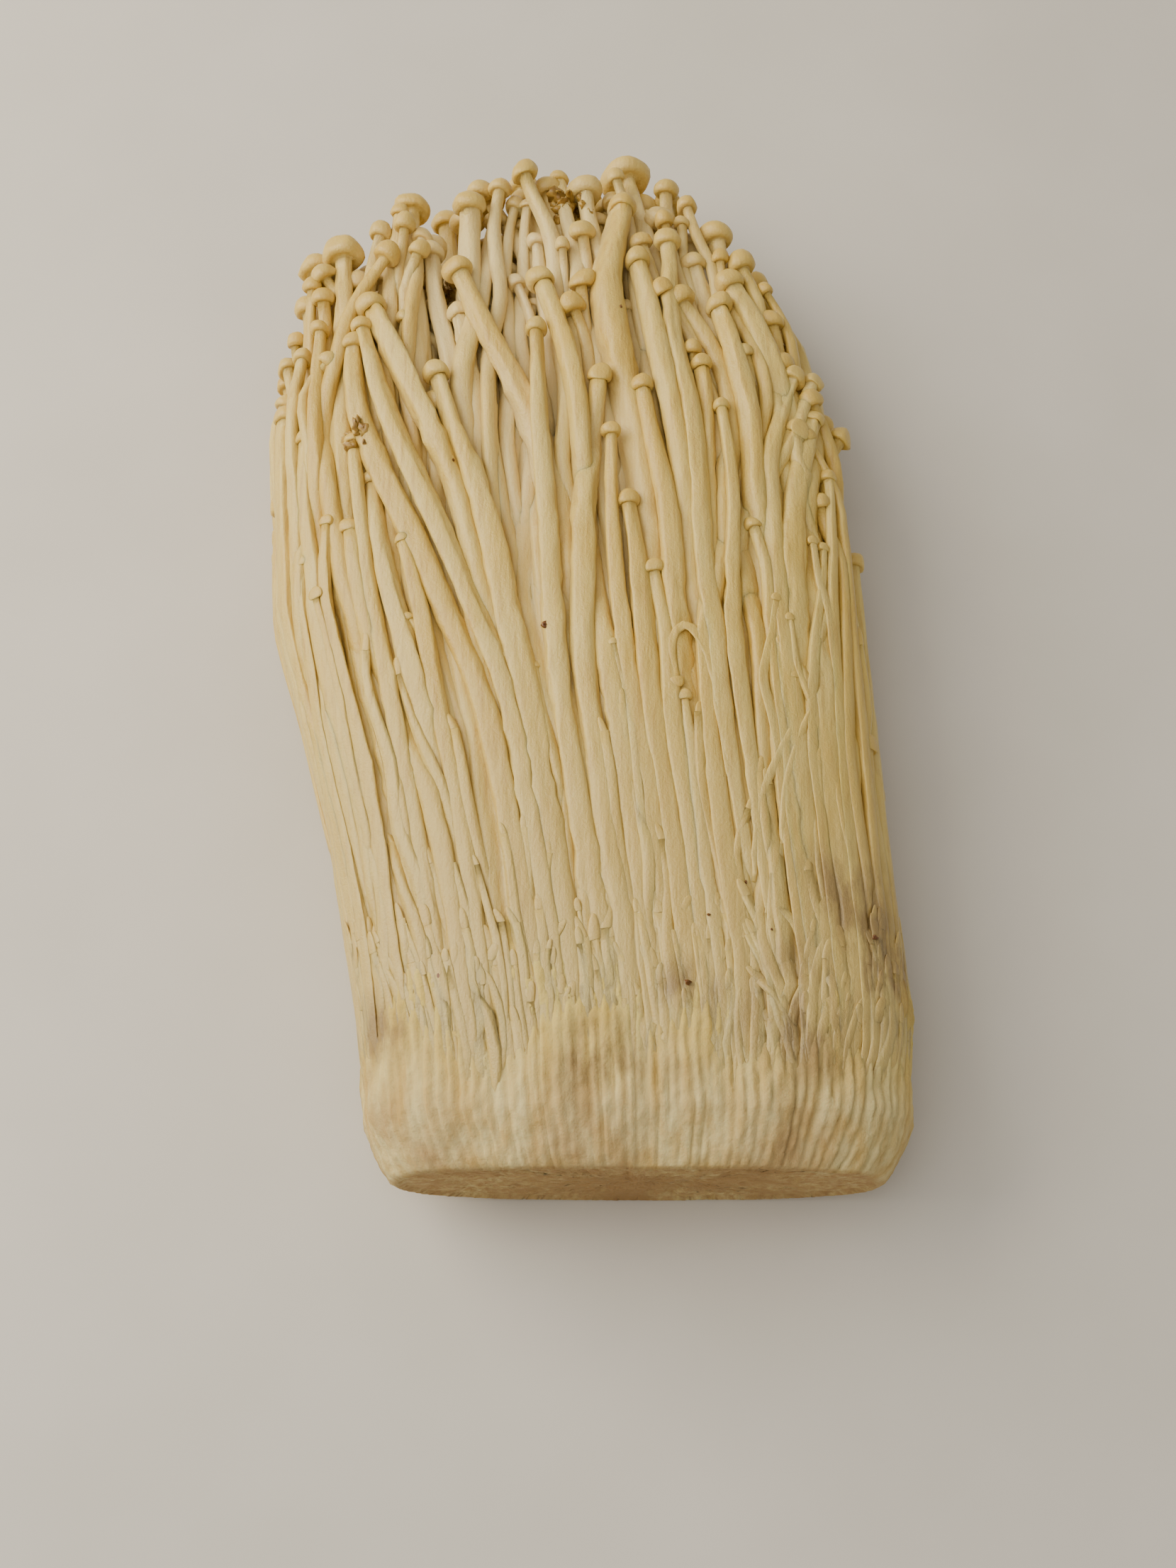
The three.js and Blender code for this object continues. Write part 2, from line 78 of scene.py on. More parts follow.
# The mushrooms of the upper face: cap x and y, cap and stem diameter, how many layers down the
# mushroom lies, then x and y of lower points of its stem.
UPPER_FACE = [
    (-37.5, 63.5, 6.7, 3.2, 1, -36, 47),
    (-26.5, 73.5, 5.7, 2.9, 1, -27, 61, -24.5, 52),
    (-23, 63, 4.5, 2.8, 1, -22, 51, -19.5, 43),
    (-18, 73, 5.8, 3.6, 2, -17, 60),
    (-19, 57, 4.6, 4, 0, -13, 43, -7, 31, -2.5, 12),
    (-32.5, 51, 5.1, 4.1, 0, -26.5, 38, -17.5, 17, -11, -4),
    (-24, 47, 4.3, 2.8, 1, -22.5, 42),
    (-21.5, 37.5, 4.2, 3.2, 0, -17.5, 23, -12, 5, -8, -15),
    (-18.5, 50.5, 3.6, 2.7, 1, -16, 38),
    (-10, 57, 3.1, 2.4, 1, -7, 50),
    (-6, 55, 4.6, 3.4, 0, -3, 46, 0.5, 30, 2, 5),
    (-6.5, 45.5, 3.6, 3.2, 0, -6, 30, -4, 10, -3, -15),
    (-5, 76, 5.7, 3.3, 1, -1.5, 62, 1, 49),
    (-9, 82, 5.1, 3.1, 2, -13.5, 61),
    (-10, 70.5, 3.8, 2.6, 2, -8, 65),
    (-35.5, 44.5, 4.3, 3.2, 0, -33, 28, -22, 4, -13, -17),
    (-33.5, 47, 3.3, 3, 0, -30, 32, -18, 6, -9, -18),
    (-46, 34, 3.8, 3, 1, -45, 13),
    (-42, 28.5, 2.8, 2.2, 1, -41, 18),
    (-34, 26.5, 2.8, 2, 0, -33, 19),
    (-30.5, 20, 3.9, 3.2, 0, -30, 12, -27, -2, -21, -20),
    (-25.5, 9, 2.4, 2.1, 0, -22.5, -2, -19.5, -22),
    (-34.5, 12, 3.5, 3.5, 0, -32.5, 1, -29, -9, -21.5, -28),
    (-38.5, 13, 2.7, 2.5, 0, -37, -4, -31, -30),
    (-41, 7.5, 2.6, 2.1, 1, -41, -8, -36, -30),
    (8, 80.5, 8.2, 3.6, 1, 10, 66),
    (7, 70.5, 4.8, 4.8, 0, 3.5, 54, 6, 41, 9, 22),
    (14.5, 77.5, 5.6, 3.1, 2, 15, 66),
    (14, 63, 4.1, 2.7, 0, 14, 45, 17.5, 30),
    (9, 66, 4.4, 3.1, 1, 10, 59),
    (9, 59, 4.3, 3.5, 0, 11.5, 45, 14.5, 30, 17, 8),
    (22, 67, 5.4, 3.4, 1, 22, 57),
    (24, 56, 4.5, 3.5, 0, 28, 48, 30.5, 41),
    (22, 51, 4.1, 2.9, 0, 24, 40, 26, 30, 27, 12),
    (18, 60, 3.9, 2.8, 1, 21, 45),
    (26, 49, 3.3, 2.8, 1, 28, 29),
    (32, 39, 4, 2.8, 0, 30.5, 29, 29, 14),
    (34.5, 28.5, 3.7, 3.6, 0, 31, 24, 26.5, 19, 23, 10, 21, -10),
    (36.5, 32, 3.6, 3.3, 0, 34.5, 20, 32, 9, 31, -8),
    (18.5, 39, 3.4, 2.8, 0, 19, 13, 19, -15),
    (17.5, 33, 2.6, 2.1, 1, 18, 25),
    (21.5, 31.5, 2.8, 2.6, 0, 23.5, 16, 23, -10),
    (9, 35, 3.6, 3, 0, 11, 25, 13.5, 13, 15, -12),
    (3, 36.5, 3.8, 3.4, 0, 1.5, 25, 1, 12, 1.5, -20),
    (5, 26.5, 2.8, 2.2, 0, 5, 9),
    (8, 15.5, 3.3, 3, 0, 9, 6, 10, -10),
    (7, 51.5, 3.1, 2.8, 1, 9, 41),
    (28, 12, 2.8, 2, 0, 29, 0),
    (1.5, 62.5, 3.1, 2.5, 1, 2, 52),
    (11, 4, 3.2, 2.4, 0, 12.5, -3, 13.5, -20),
    (29, -2, 2.3, 1.8, 0, 28, -12),
    (15, -16, 2.6, 2, 0, 16, -26),
    (-6.5, 65.5, 3.8, 3, 1, -5.5, 56),
    (1.5, 78, 4.6, 3, 2, 1.5, 60),
    (-43.5, 44, 3.2, 2.4, 1, -43.5, 25),
    (-40, 48, 3.2, 2.4, 1, -40, 30),
    (39, 22, 2.6, 2, 0, 38, 5, 38, -15),
    (38, 9, 2.2, 1.8, 0, 36, -6, 34, -22),
]
LAYER_DEPTH = 4.5  # from one layer of the upper face to the next
HALFWAY_SHIFT = 0.45  # share of its sideways way that a stem makes by halfway to them
ROOT_WIDEST = 0.97  # where their roots lie in the cross-section
ROOT_TOP = 0.9
ROOT_PER_LAYER = 0.3
ROOT_FALL = 0.25

# The rest, laid out by rule on a sunflower pattern across the root clump.
PLACES = 75  # places in the pattern, those above the upper share left empty
UPPER_SHARE = 0.66  # share of the half height above which the upper face takes over
FAN_MIDDLE = -4
FAN_HALF = 45
STEM_RADIUS = (1.15, 1.85)
CAP_TO_STEM = (1.35, 1.75)
SPREAD = (0.16, 0.2)  # how far they stray from the pattern, across and up
DOME = 7  # how far behind the crown the lowest of them end
SHORTER_SHARE = 0.42  # share of these that end well below the crown
SHORT_BY = (12, 60)  # how far below it those end, and by how much more at most
UNEVEN_BY = 9  # how far below it the others end, at most
LOWEST_TIP = -30
SEED = 20240

ROOT_SPREAD = (0.95, 0.93)  # share of the root end that the stems take
ROUNDS = 70
SMOOTHING = 0.22
PART_BY = 0.7  # share of an overlap that one round undoes
PULL_HOME = 0.02
UPPER_GIVES = 0.25  # share of the way that the upper face's are parted sideways
UPPER_PULL = 0.1
PIN_PULL = 0.15  # keeps the thin ones, which aren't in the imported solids, from being bent aside

STEM_AT_ROOT = 0.6  # share of its full radius
STEM_BEYOND = 1.15
STEM_FULLNESS = 0.7

# ---- what is only here: the finer mushrooms that fill the gaps ----
# How many there are, their stems' radius, and their caps' radius as a share of it.
Filling = namedtuple("Filling", "count stem cap")
SLIM = Filling(200, (0.9, 1.45), (1.35, 1.8))  # long ones, between the others and in the crown
CROWN = Filling(64, (1.1, 1.6), (1.4, 1.8))  # ones whose tips fill the crown behind the upper face
PINS = Filling(430, (0.55, 1.1), (0.6, 1.35))  # thin ones that stopped short, most of them low down
STUBS = Filling(320, (0.6, 1.15), (0.7, 0.95))  # the ragged upper edge of the root clump
FILL_ROUNDS = 30
SLIM_FROM = 0.45  # the slim ones leave this share of the pattern, its middle, empty
SLIM_STRAY = 0.1
SLIM_SHORT_BY = (8, 46)  # how far below the crown they end
LONG_SHORT_BY = (1, 12)  # every third ends nearer to it
CROWN_ACROSS = (-0.8, 0.8)  # where the ones in the crown have their tips
CROWN_UP = (-0.5, 0.55)
CROWN_SHORT_BY = (2, 20)
PIN_OUT = (0.80, 0.99)  # how far out they stand, where 1 is on the outline
PIN_TIPS = (-62, -2)
PIN_CAPS_FROM = -14  # those that end lower have hardly a cap
LOW_PIN_CAP = 0.75
STUB_OUT = (0.93, 1.0)
STUB_TIPS = (-62, -46)

# How far inside the outline the wrap has pressed the stems: distance along, and millimetres.
WRAP_ROWS = np.array([(-70, 0.9), (-40, 0.9), (-5, 0.7), (45, 0)])
STOOD_PROUD = 0.3  # share of what stood further out that is left

# Loose mushrooms that lie on the upper face: cap and stem diameter, then x and y along the stem
# from its root to its cap.
STRAYS = [
    (2.0, 1.3, 22, -32, 20.6, -21, 19.4, -12, 16.6, -6.4, 14.4, -6.6, 13.6, -10, 14.4, -15.5),
    (2.4, 1.5, -29, -40, -32.5, -26, -35.5, -12, -39, 2),
    (1.7, 1.4, 24.3, -44, 26.1, -31.7, 29.3, -24.2, 31.6, -18.9, 31.5, -12),
    (1.6, 1.3, 28.5, -40, 29.5, -29.5, 32.2, -21, 33.7, -17.2, 31.7, -11.2, 30.9, -3),
    (1.9, 1.4, 38, -16, 37.3, -8.5, 36.9, -2.3, 35.5, 3.3, 34.7, 10.2),
    (1.6, 1.2, 29, -27, 27.8, -19.2, 26.8, -13.4, 28.2, -6.8, 29.2, 0),
]
STRAY_SUNK = 0.7  # how far below the outline it lies, in stem radii
STRAY_ROOT_SUNK = (1.6, 0.8)  # how much further its first two points are sunk
FACE_EDGE = 0.98  # beyond this share of the half width the outline is too steep to lie on

# Brown specks on the upper face: x, y and radius.
SPECKS = [
    (-4.7, -6, 0.36), (18, -49.2, 0.3), (15, -58.7, 0.5), (23.2, -44.4, 0.28),
    (26.6, -51.1, 0.26), (41.2, -51, 0.35), (-18.5, 21, 0.22), (6.5, 48, 0.2),
]

# Torn, browned scraps between the caps, and dark lumps put in for the shade in the hollows there: x,
# y, greatest height, how far they spread and how many fall there. Where the skin is lower, a scrap
# lies on it.
SCRAPS_AND_SHADE_LUMPS = [
    (-1, 71.5, 24.5, 2.8, 34), (-22.5, 60, 23.5, 2.6, 24),
    (-33, 26, 30.5, 1.8, 14), (43, -58.5, 24, 1.6, 8),
]
SCRAP_RADIUS = (0.35, 1.1)
DEEP_GAP = 8  # a scrap that would fall lower than this between the stems is left out
ABOVE_ALL = 0.1  # metres above the table
SCRAP_STRETCH = (0.6, 1.5)
SCRAP_CRUMPLE = 0.9
SCRAP_CRUMPLES = 1.6

# Grey-brown stains near the root clump: x, y and how far they reach.
STAINS = [(31, -62, 13), (43, -55, 10), (38, -44, 9), (3, -69, 8), (-27, -64, 7), (15, -60, 6)]

# ---- how the mushrooms are made ----
# How finely each kind is made, by sides and millimetres to a ring, and how far its stems stray
# from round and straight.
Look = namedtuple("Look", "sides ring oval wander lumps")
LOOKS = {
    "upper_face": Look(24, 1.8, 0.13, 0.12, 0.26),
    "rest": Look(16, 2.4, 0.14, 0.25, 0.24),
    "slim": Look(12, 3.0, 0.14, 0.4, 0.2),
    "crown": Look(12, 3.0, 0.14, 0.4, 0.2),
    "pins": Look(8, 3.2, 0.16, 0.7, 0),
    "stubs": Look(10, 2.2, 0.2, 0.3, 0.5),
    "strays": Look(12, 1.2, 0.2, 0, 0.25),
}
THICK_KINDS = ("upper_face", "rest", "slim", "crown")
THIN_KINDS = ("pins", "stubs", "strays")
STEM_FROM = -79  # the stems start inside the root clump
ROOTS_DIVE = 0.1  # share by which they dive inwards there
BURIED_BY = 1.5  # a stem is out of sight this far inside the core's skin
LEAST_SHOWN = 3  # a mushroom isn't made where less than this many cap radii would show
STEEP_DIVE = 1.1  # millimetres of height in one station
EASE_PASSES = 4
SWAY_LENGTH = (24, 60)
SWAY_FADES = 14  # the stem sways less, the nearer it is to an end
PLUMP = 1.1  # stems swell by this against one another
PLUMP_FROM = 15  # this far below the cap
SWELLS = [(0.06, 8, 16), (0.025, 30, 60)]  # share of the radius, then least and most per stem
PHASES = 6.3  # a little more than a full turn

# The lumps on its skin, which is rougher in some places.
LUMP_LENGTH = 3.2
LUMPS_AROUND = 1.2
ROUGHER_BY = 2.2
ROUGH_LENGTH = 14
NOISE_RANGE = 500

# A cap, in shares of its radius unless it says otherwise.
CAP_BEYOND_TIP = 0.6
CAP_RINGS_UNDER = np.radians([24, 48, 70, 90])
CAP_RINGS_OVER = np.radians([14, 29, 44, 58, 72, 84])
CAP_LIP = 0.10  # height at which it meets the stem
CAP_HEIGHT_AT = ((1.5, 4), (1.6, 1.1))  # radii in millimetres, and the heights there
CAP_LUMPS = 0.4  # as a share of the stem's
CAP_RIM_WAVES = [(2, 0.07), (3, 0.045), (5, 0.025)]  # how many, and how high at most
CAP_NOD = 0.13
NECK = 0.7  # share of the stem's radius
PIN_TAPER = 2.4  # a pin with no cap to speak of ends in a point this much longer than a cap

GAP_LIGHT_DEEPEST = 10  # how far inside the bunch the painted gap light is strongest
CROWN_SHOWS = 0.3  # each millimetre down from the crown counts as this much depth for the painted gap light
SQUARE_SIDES = 1.1

# ---- the core and the root clump ----
OUTLINE_STEPS = 4001
FLUTE_DRIFTS = [(0.9, 9, 30), (0.25, 60, 11)]  # by how many flutes, times round, and length

# The core: distance along, and how far its skin lies inside the outline of the bunch.
CORE_ROWS = np.array([(-80, 3.2), (-60, 2.0), (-36, 2.3), (-12, 3.0), (8, 4.2), (30, 7.5), (50, 14)])
CORE_AROUND = 330
CORE_RINGS = 90
CORE_FLUTES = 66
CORE_FLUTE_HEIGHT = 1.3
CORE_POINT = 2  # how far its upper end bulges

# The root clump: distance from its cut face, and how far its skin lies inside the outline.
CLUMP_ROWS = np.array([
    (0, 1.8), (0.4, 1.1), (2, 0.7), (6, 0.5), (10, 0.6), (17, 1.0), (26, 1.6), (34, 2.4), (42, 5),
])
CLUMP_ROWS[:, 0] += ROOT_END
CLUMP_SECTION = -60  # its vertices are evenly spaced round the outline here
CLUMP_AROUND = 540
CLUMP_RINGS = 92
CLUMP_HEIGHT = 30  # that its colours run over

# Its relief, in millimetres: the backs of the fused stems, fainter near the cut, then lumps, a
# fuzz of mycelium and fine streaks.
BACKS = 118
BACKS_HEIGHT = 0.65
BACKS_FAINT = 0.6
BACKS_FAINT_OVER = 14
FRACTALS = [  # size across, along and up, then the noise's settings and its height
    ((8, 12, 8), (0.9, 2.1, 3), 0.75),
    ((0.9, 2.5, 0.9), (0.8, 2.2, 3), 0.22),
]
STREAKS_AROUND = 420
STREAK_LENGTH = 16
STREAK_HEIGHT = 0.3

# Its cut face, sunk a little inside its rim and pitted.
CUT_RINGS = 34
CUT_SUNK = 0.5
CUT_MIDDLE_SUNK = 0.6
CUT_DEEPEST = 0.9
CUT_RIM = 8  # the greater, the narrower the smooth rim
CUT_EDGE_COLOUR = 0.8
PITS = [  # size, row of the noise, its settings and the depth
    (1.6, 3, (0.7, 2.2, 4), 0.55),
    (9, 7, (0.9, 2.1, 2), 0.7),
]


# ---- colours, light and view ----
def colour(r, g, b):
    """A linear colour from one written as it looks, 0 to 255."""
    linear = [((c / 255 + 0.055) / 1.055) ** 2.4 for c in (r, g, b)]
    return (*linear, 1)


CREAM = colour(214, 182, 90)
PALE = colour(218, 192, 110)
BUTTER = colour(206, 166, 68)
STREAK = colour(168, 122, 48)
MILKY = colour(228, 204, 130)
GAP_LIGHT_PAINT = colour(230, 209, 152)  # painted gap light: flesh deep in the bunch is painted paler and less yellow, to offset the shade between the stems
GREY_TAN = colour(200, 174, 106)
STAIN = colour(148, 120, 74)
FLECK = colour(120, 72, 30)
# scrap colours, also those of the dark lumps that stand in for shade between the caps
SCRAP_PALE = colour(190, 154, 72)
SCRAP_AND_SHADE_BROWN = colour(134, 98, 36)
SPECK = colour(112, 70, 34)
FELT_PALE = colour(218, 198, 138)
FELT_TAN = colour(196, 164, 96)
FELT_STAIN = colour(160, 122, 68)
FOOT_STAIN = colour(170, 134, 84)
CUT_BROWN = colour(176, 140, 88)
TABLE_PALE = colour(207, 200, 187)
TABLE_PALER = colour(213, 206, 194)

STAIN_GAIN = 1.5
STAIN_MOST = 0.85

# Place in metres, the disk's diameter, its power in watts and its colour.
Lamp = namedtuple("Lamp", "at size power warmth")
KEY = Lamp((-0.44, 0.16, 0.34), 0.6, 4.7, (1.0, 0.94, 0.82))
FILL = Lamp((-0.16, -0.10, 0.70), 0.5, 1.7, (1.0, 0.97, 0.90))
SKY_COLOUR = (1.0, 0.97, 0.92, 1)
SKY_STRENGTH = 0.43
TABLE_DROP = 0.0001  # metres by which the table's top is just under the bunch

CAMERA_AT = (1.5, -132.6, 314.4)  # in the bunch's own millimetres, before centring
CAMERA_TILT = math.radians(20)  # from straight down


# ---- the outline of the bunch ----
def mix(a, b, t):
    return a + (b - a) * t


def bunch_at(y):
    """Middle across, half width and height at a distance along the stems."""
    return tuple(np.interp(y, BUNCH[:, 0], BUNCH[:, c]) for c in (1, 2, 3))


def section_radius(p, q):
    """How far out (p, q) lies, where 1 is on the outline of a unit cross-section."""
    return (np.abs(p) ** SQUARENESS + np.abs(q) ** SQUARENESS) ** (1 / SQUARENESS)


def crown_at(x):
    away = x - CROWN_X
    reach = CROWN_FALLS_AT["left" if away < 0 else "right"]
    return CROWN_TIP - CROWN_FALL * (abs(away) / reach) ** CROWN_STEEPNESS


def place_of(x, y, z):
    """A point's distance along, and its place (p, q) in the section there."""
    middle, half, height = bunch_at(y)
    return y, (x - middle) / half, 2 * z / height - 1


def skin_point(section, y, p, q, raised):
    """The point of the outline at (p, q), raised from it by some millimetres."""
    middle, half, height = section
    return middle + (half + raised) * p, y, height / 2 + (height / 2 + raised) * q


def top_of_bunch(x, y):
    """Height of the outline above a place seen from above."""
    middle, half, height = bunch_at(y)
    across = min(FACE_EDGE, abs(x - middle) / half)
    return height / 2 * (1 + (1 - across**SQUARENESS) ** (1 / SQUARENESS))


def inset_at(y, rows):
    return np.interp(y, rows[:, 0], rows[:, 1])


def depth_in(x, y, z):
    """Roughly how far a point lies inside the outline of the bunch, in millimetres."""
    _, half, height = bunch_at(y)
    _, p, q = place_of(x, y, z)
    return (1 - section_radius(p, q)) * np.minimum(half, height / 2) * SQUARE_SIDES


def painted_gap_light_share(x, y, z):
    """How far from the skin of the bunch and from its crown points lie, 0 there and 1 well inside:
    the painted gap light.
    """
    from_crown = np.array([crown_at(each) for each in x]) - y
    return np.clip(np.minimum(depth_in(x, y, z), CROWN_SHOWS * from_crown) / GAP_LIGHT_DEEPEST, 0, 1)


# ---- laying out and settling ----
def seeded(seed):
    """The stream of numbers from 0 to 1 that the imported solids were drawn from."""
    state = seed
    word = 0xFFFFFFFF
    while True:
        state = (state + 0x6D2B79F5) & word
        t = ((state ^ (state >> 15)) * (1 | state)) & word
        t = ((t + ((t ^ (t >> 7)) * (61 | t))) & word) ^ t
        yield (t ^ (t >> 14)) / 4294967296


def stem_shape(t):
    """Stem radius at a share of the way up: thin at the root, full past the middle, then a neck."""
    full = np.sin(np.pi * np.minimum(1, t / STEM_BEYOND)) ** STEM_FULLNESS
    return STEM_AT_ROOT + (1 - STEM_AT_ROOT) * full


class Mushroom:
    """One mushroom: its sizes, and where its stem lies at each station.

    root is a place (p, q). tip and the points that the stem runs through, from the lowest up, are
    each a distance along and the place there.
    """

    def __init__(self, root, tip, cap, stem, kind, through=()):
        self.cap = cap
        self.stem = stem
        self.kind = kind
        self.tip_y = tip[0]
        self.whole = tip[0] - ROOT_END
        points = [(ROOT_END, ROOT_SPREAD[0] * root[0], ROOT_SPREAD[1] * root[1])]
        if through:
            y, across, up = through[0]
            points.append((mix(ROOT_END, y, 0.5), mix(points[0][1], across, HALFWAY_SHIFT), up))
        points = np.array([*points, *through, tip])
        ys = np.arange(ROOT_END, tip[0] + TINY, STATION)
        after = np.clip(np.searchsorted(points[:, 0], ys), 1, len(points) - 1)
        a = points[after - 1]
        b = points[after]
        t = (ys - a[:, 0]) / (b[:, 0] - a[:, 0])
        if not through:
            t = mix(t, t * t * (3 - 2 * t), 0.5)
        middle, half, height = bunch_at(ys)
        across = middle + half * mix(a[:, 1], b[:, 1], t)
        lift = height / 2 * (1 + mix(a[:, 2], b[:, 2], t))
        self.path = np.stack([across, lift], axis=1)
        up = (ys - ROOT_END) / self.whole
        self.radius = np.where(tip[0] - ys < STATION, cap, stem * stem_shape(up))


class Stray:
    """A thin mushroom that lies loose on the upper face, along a line of its own."""

    def __init__(self, cap, stem, corners):
        self.cap = cap
        self.stem = stem
        self.kind = "strays"
        corners = np.array(corners, float).reshape(-1, 2)
        at = np.linspace(0, len(corners) - 1, 6 * len(corners))
        flat = spline(corners, np.arange(len(corners)), at)
        top = [top_of_bunch(x, y) for x, y in flat]
        self.line = np.column_stack([flat, top])
        self.line[:, 2] -= STRAY_SUNK * stem
        self.line[:2, 2] -= stem * np.array(STRAY_ROOT_SUNK)
        self.whole = np.linalg.norm(np.diff(self.line, axis=0), axis=1).sum()


def upper_face():
    for x, y, cap_width, stem_width, layer, *lower in UPPER_FACE:
        cap = cap_width / 2
        stem = stem_width / 2
        tip = place_of(x, y, bunch_at(y)[2] - cap - layer * LAYER_DEPTH)
        through = [
            place_of(px, py, bunch_at(py)[2] - stem - layer * LAYER_DEPTH)
            for px, py in zip(lower[-2::-2], lower[-1::-2])
        ]
        across = max(-ROOT_WIDEST, min(ROOT_WIDEST, through[0][1]))
        root = (across, ROOT_TOP - ROOT_PER_LAYER * layer - ROOT_FALL * across * across)
        yield Mushroom(root, tip, cap, stem, "upper_face", through)


def sunflower(i, count):
    """Place i of a sunflower pattern that fills the unit cross-section."""
    turn = i * math.pi * (3 - math.sqrt(5))
    return place_out(turn, math.sqrt((i + 0.5) / count))


def place_out(turn, out):
    """The place in the direction of a turn, so far out, where 1 is on the outline."""
    p = math.cos(turn)
    q = math.sin(turn)
    reach = out / section_radius(p, q)
    return p * reach, q * reach


def fanned_tip(across, up, short_by, lowest=-math.inf):
    """Where a mushroom ends that fans out across and up, so far short of the crown."""
    x = FAN_MIDDLE + FAN_HALF * across
    y = max(lowest, crown_at(x) - DOME * up * up - short_by)
    return place_of(x, y, bunch_at(y)[2] / 2 * (1 + up))


def rest_of_bunch():
    draws = seeded(SEED)
    for i in range(PLACES):
        root = sunflower(i, PLACES)
        draw = [next(draws) for _ in range(6)]
        if root[1] > UPPER_SHARE:
            continue
        stem = mix(*STEM_RADIUS, draw[0])
        cap = stem * mix(*CAP_TO_STEM, draw[1])
        across = root[0] + SPREAD[0] * (draw[2] - 0.5)
        up = root[1] + SPREAD[1] * (draw[3] - 0.5)
        short_by = UNEVEN_BY * draw[5]
        if draw[4] < SHORTER_SHARE:
            short_by = SHORT_BY[0] + SHORT_BY[1] * draw[5]
        tip = fanned_tip(across, up, short_by, LOWEST_TIP)
        yield Mushroom(root, tip, cap, stem, "rest")


def slim_ones(rng):
    for i in range(SLIM.count):
        root = sunflower(SLIM.count * SLIM_FROM + i * (1 - SLIM_FROM), SLIM.count)
        stem = rng.uniform(*SLIM.stem)
        cap = stem * rng.uniform(*SLIM.cap)
        across = root[0] + rng.uniform(-SLIM_STRAY, SLIM_STRAY)
        up = min(0.6, root[1] + rng.uniform(-SLIM_STRAY, SLIM_STRAY))
        short_by = rng.uniform(*(LONG_SHORT_BY if i % 3 == 0 else SLIM_SHORT_BY))
        root = (root[0], min(0.8, root[1]))
        yield Mushroom(root, fanned_tip(across, up, short_by), cap, stem, "slim")


def crown_ones(rng):
    for _ in range(CROWN.count):
        stem = rng.uniform(*CROWN.stem)
        cap = stem * rng.uniform(*CROWN.cap)
        across = rng.uniform(*CROWN_ACROSS)
        up = rng.uniform(*CROWN_UP)
        tip = fanned_tip(across, up, rng.uniform(*CROWN_SHORT_BY))
        root = (0.8 * across, 0.8 * up)
        yield Mushroom(root, tip, cap, stem, "crown")


def low_ones(rng):
    """The pins and the stubs, which stand close under the skin."""
    for _ in range(PINS.count):
        root = place_out(rng.uniform(0, FULL_TURN), rng.uniform(*PIN_OUT))
        stem = rng.uniform(*PINS.stem)
        y = mix(*PIN_TIPS, rng.random() ** 2.2)
        least, most = PINS.cap
        cap = stem * rng.uniform(least, LOW_PIN_CAP if y < PIN_CAPS_FROM else most)
        yield Mushroom(root, (y, *root), cap, stem, "pins")
    for _ in range(STUBS.count):
        root = place_out(rng.uniform(0, FULL_TURN), rng.uniform(*STUB_OUT))
        stem = rng.uniform(*STUBS.stem)
        cap = stem * rng.uniform(*STUBS.cap)
        yield Mushroom(root, (rng.uniform(*STUB_TIPS), *root), cap, stem, "stubs")


def settle(bunch, rounds, standing=0):
    """Parts stems that overlap and keep all on the table and inside the bunch.

    The first ones, as many as are standing, stay where they are. Those of the upper face give
    way in height and mostly keep their x.
    """
    homes = [m.path.copy() for m in bunch]
    give = np.array([UPPER_GIVES if m.kind == "upper_face" else 1.0 for m in bunch])
    longest = max(len(m.path) for m in bunch)
    for _ in range(rounds):
        for k in range(longest):
            here = [i for i, m in enumerate(bunch) if len(m.path) > k]
            part_stems(bunch, homes, give, here, k, standing)
        for m in bunch[standing:]:
            between = (m.path[:-2] + m.path[2:]) / 2
            m.path[1:-1] = mix(m.path[1:-1], between, SMOOTHING)


def part_stems(bunch, homes, give, here, k, standing):
    """One round of parting, at station k."""
    first = sum(1 for i in here if i < standing)
    if first == len(here):
        return
    at = np.array([bunch[i].path[k] for i in here])
    home = np.array([homes[i][k] for i in here[first:]])
    radius = np.array([bunch[i].radius[k] for i in here])
    away = at[None, :] - at[first:, None]
    apart = np.maximum(np.hypot(away[..., 0], away[..., 1]), TINY)
    overlap = np.maximum(radius[first:, None] + radius[None, :] - apart, 0)
    overlap[np.arange(len(here) - first), np.arange(first, len(here))] = 0
    share = np.ones(len(here))
    share[:first] = 2  # one that stands still leaves the other to give all the way
    push = -(away * (overlap / 2 / apart * share[None, :])[..., None]).sum(axis=1)
    at = at[first:]
    radius = radius[first:]
    ease = give[here[first:]]
    is_thin = np.array([bunch[i].kind in THIN_KINDS for i in here[first:]])
    lift_pull = np.where(is_thin, PIN_PULL, PULL_HOME)
    pull = np.where(ease < 1, UPPER_PULL, lift_pull)
    at[:, 0] += PART_BY * ease * push[:, 0] + pull * (home[:, 0] - at[:, 0])
    at[:, 1] += PART_BY * push[:, 1] + lift_pull * (home[:, 1] - at[:, 1])
    keep_inside(at, radius, ease, ROOT_END + k * STATION)
    for row, i in enumerate(here[first:]):
        bunch[i].path[k] = at[row]


def keep_inside(at, radius, ease, y):
    """Moves the stems at y in from the outline of the bunch and up from the table."""
    middle, half, height = bunch_at(y)
    p = (at[:, 0] - middle) / (half - radius)
    q = (2 * at[:, 1] - height) / (height - 2 * radius)
    inwards = 1 / np.maximum(section_radius(p, q), 1)
    at[:, 0] = middle + (at[:, 0] - middle) * mix(1, inwards, ease)
    at[:, 1] = height / 2 + (at[:, 1] - height / 2) * inwards
    at[:, 1] = np.maximum(at[:, 1], radius)


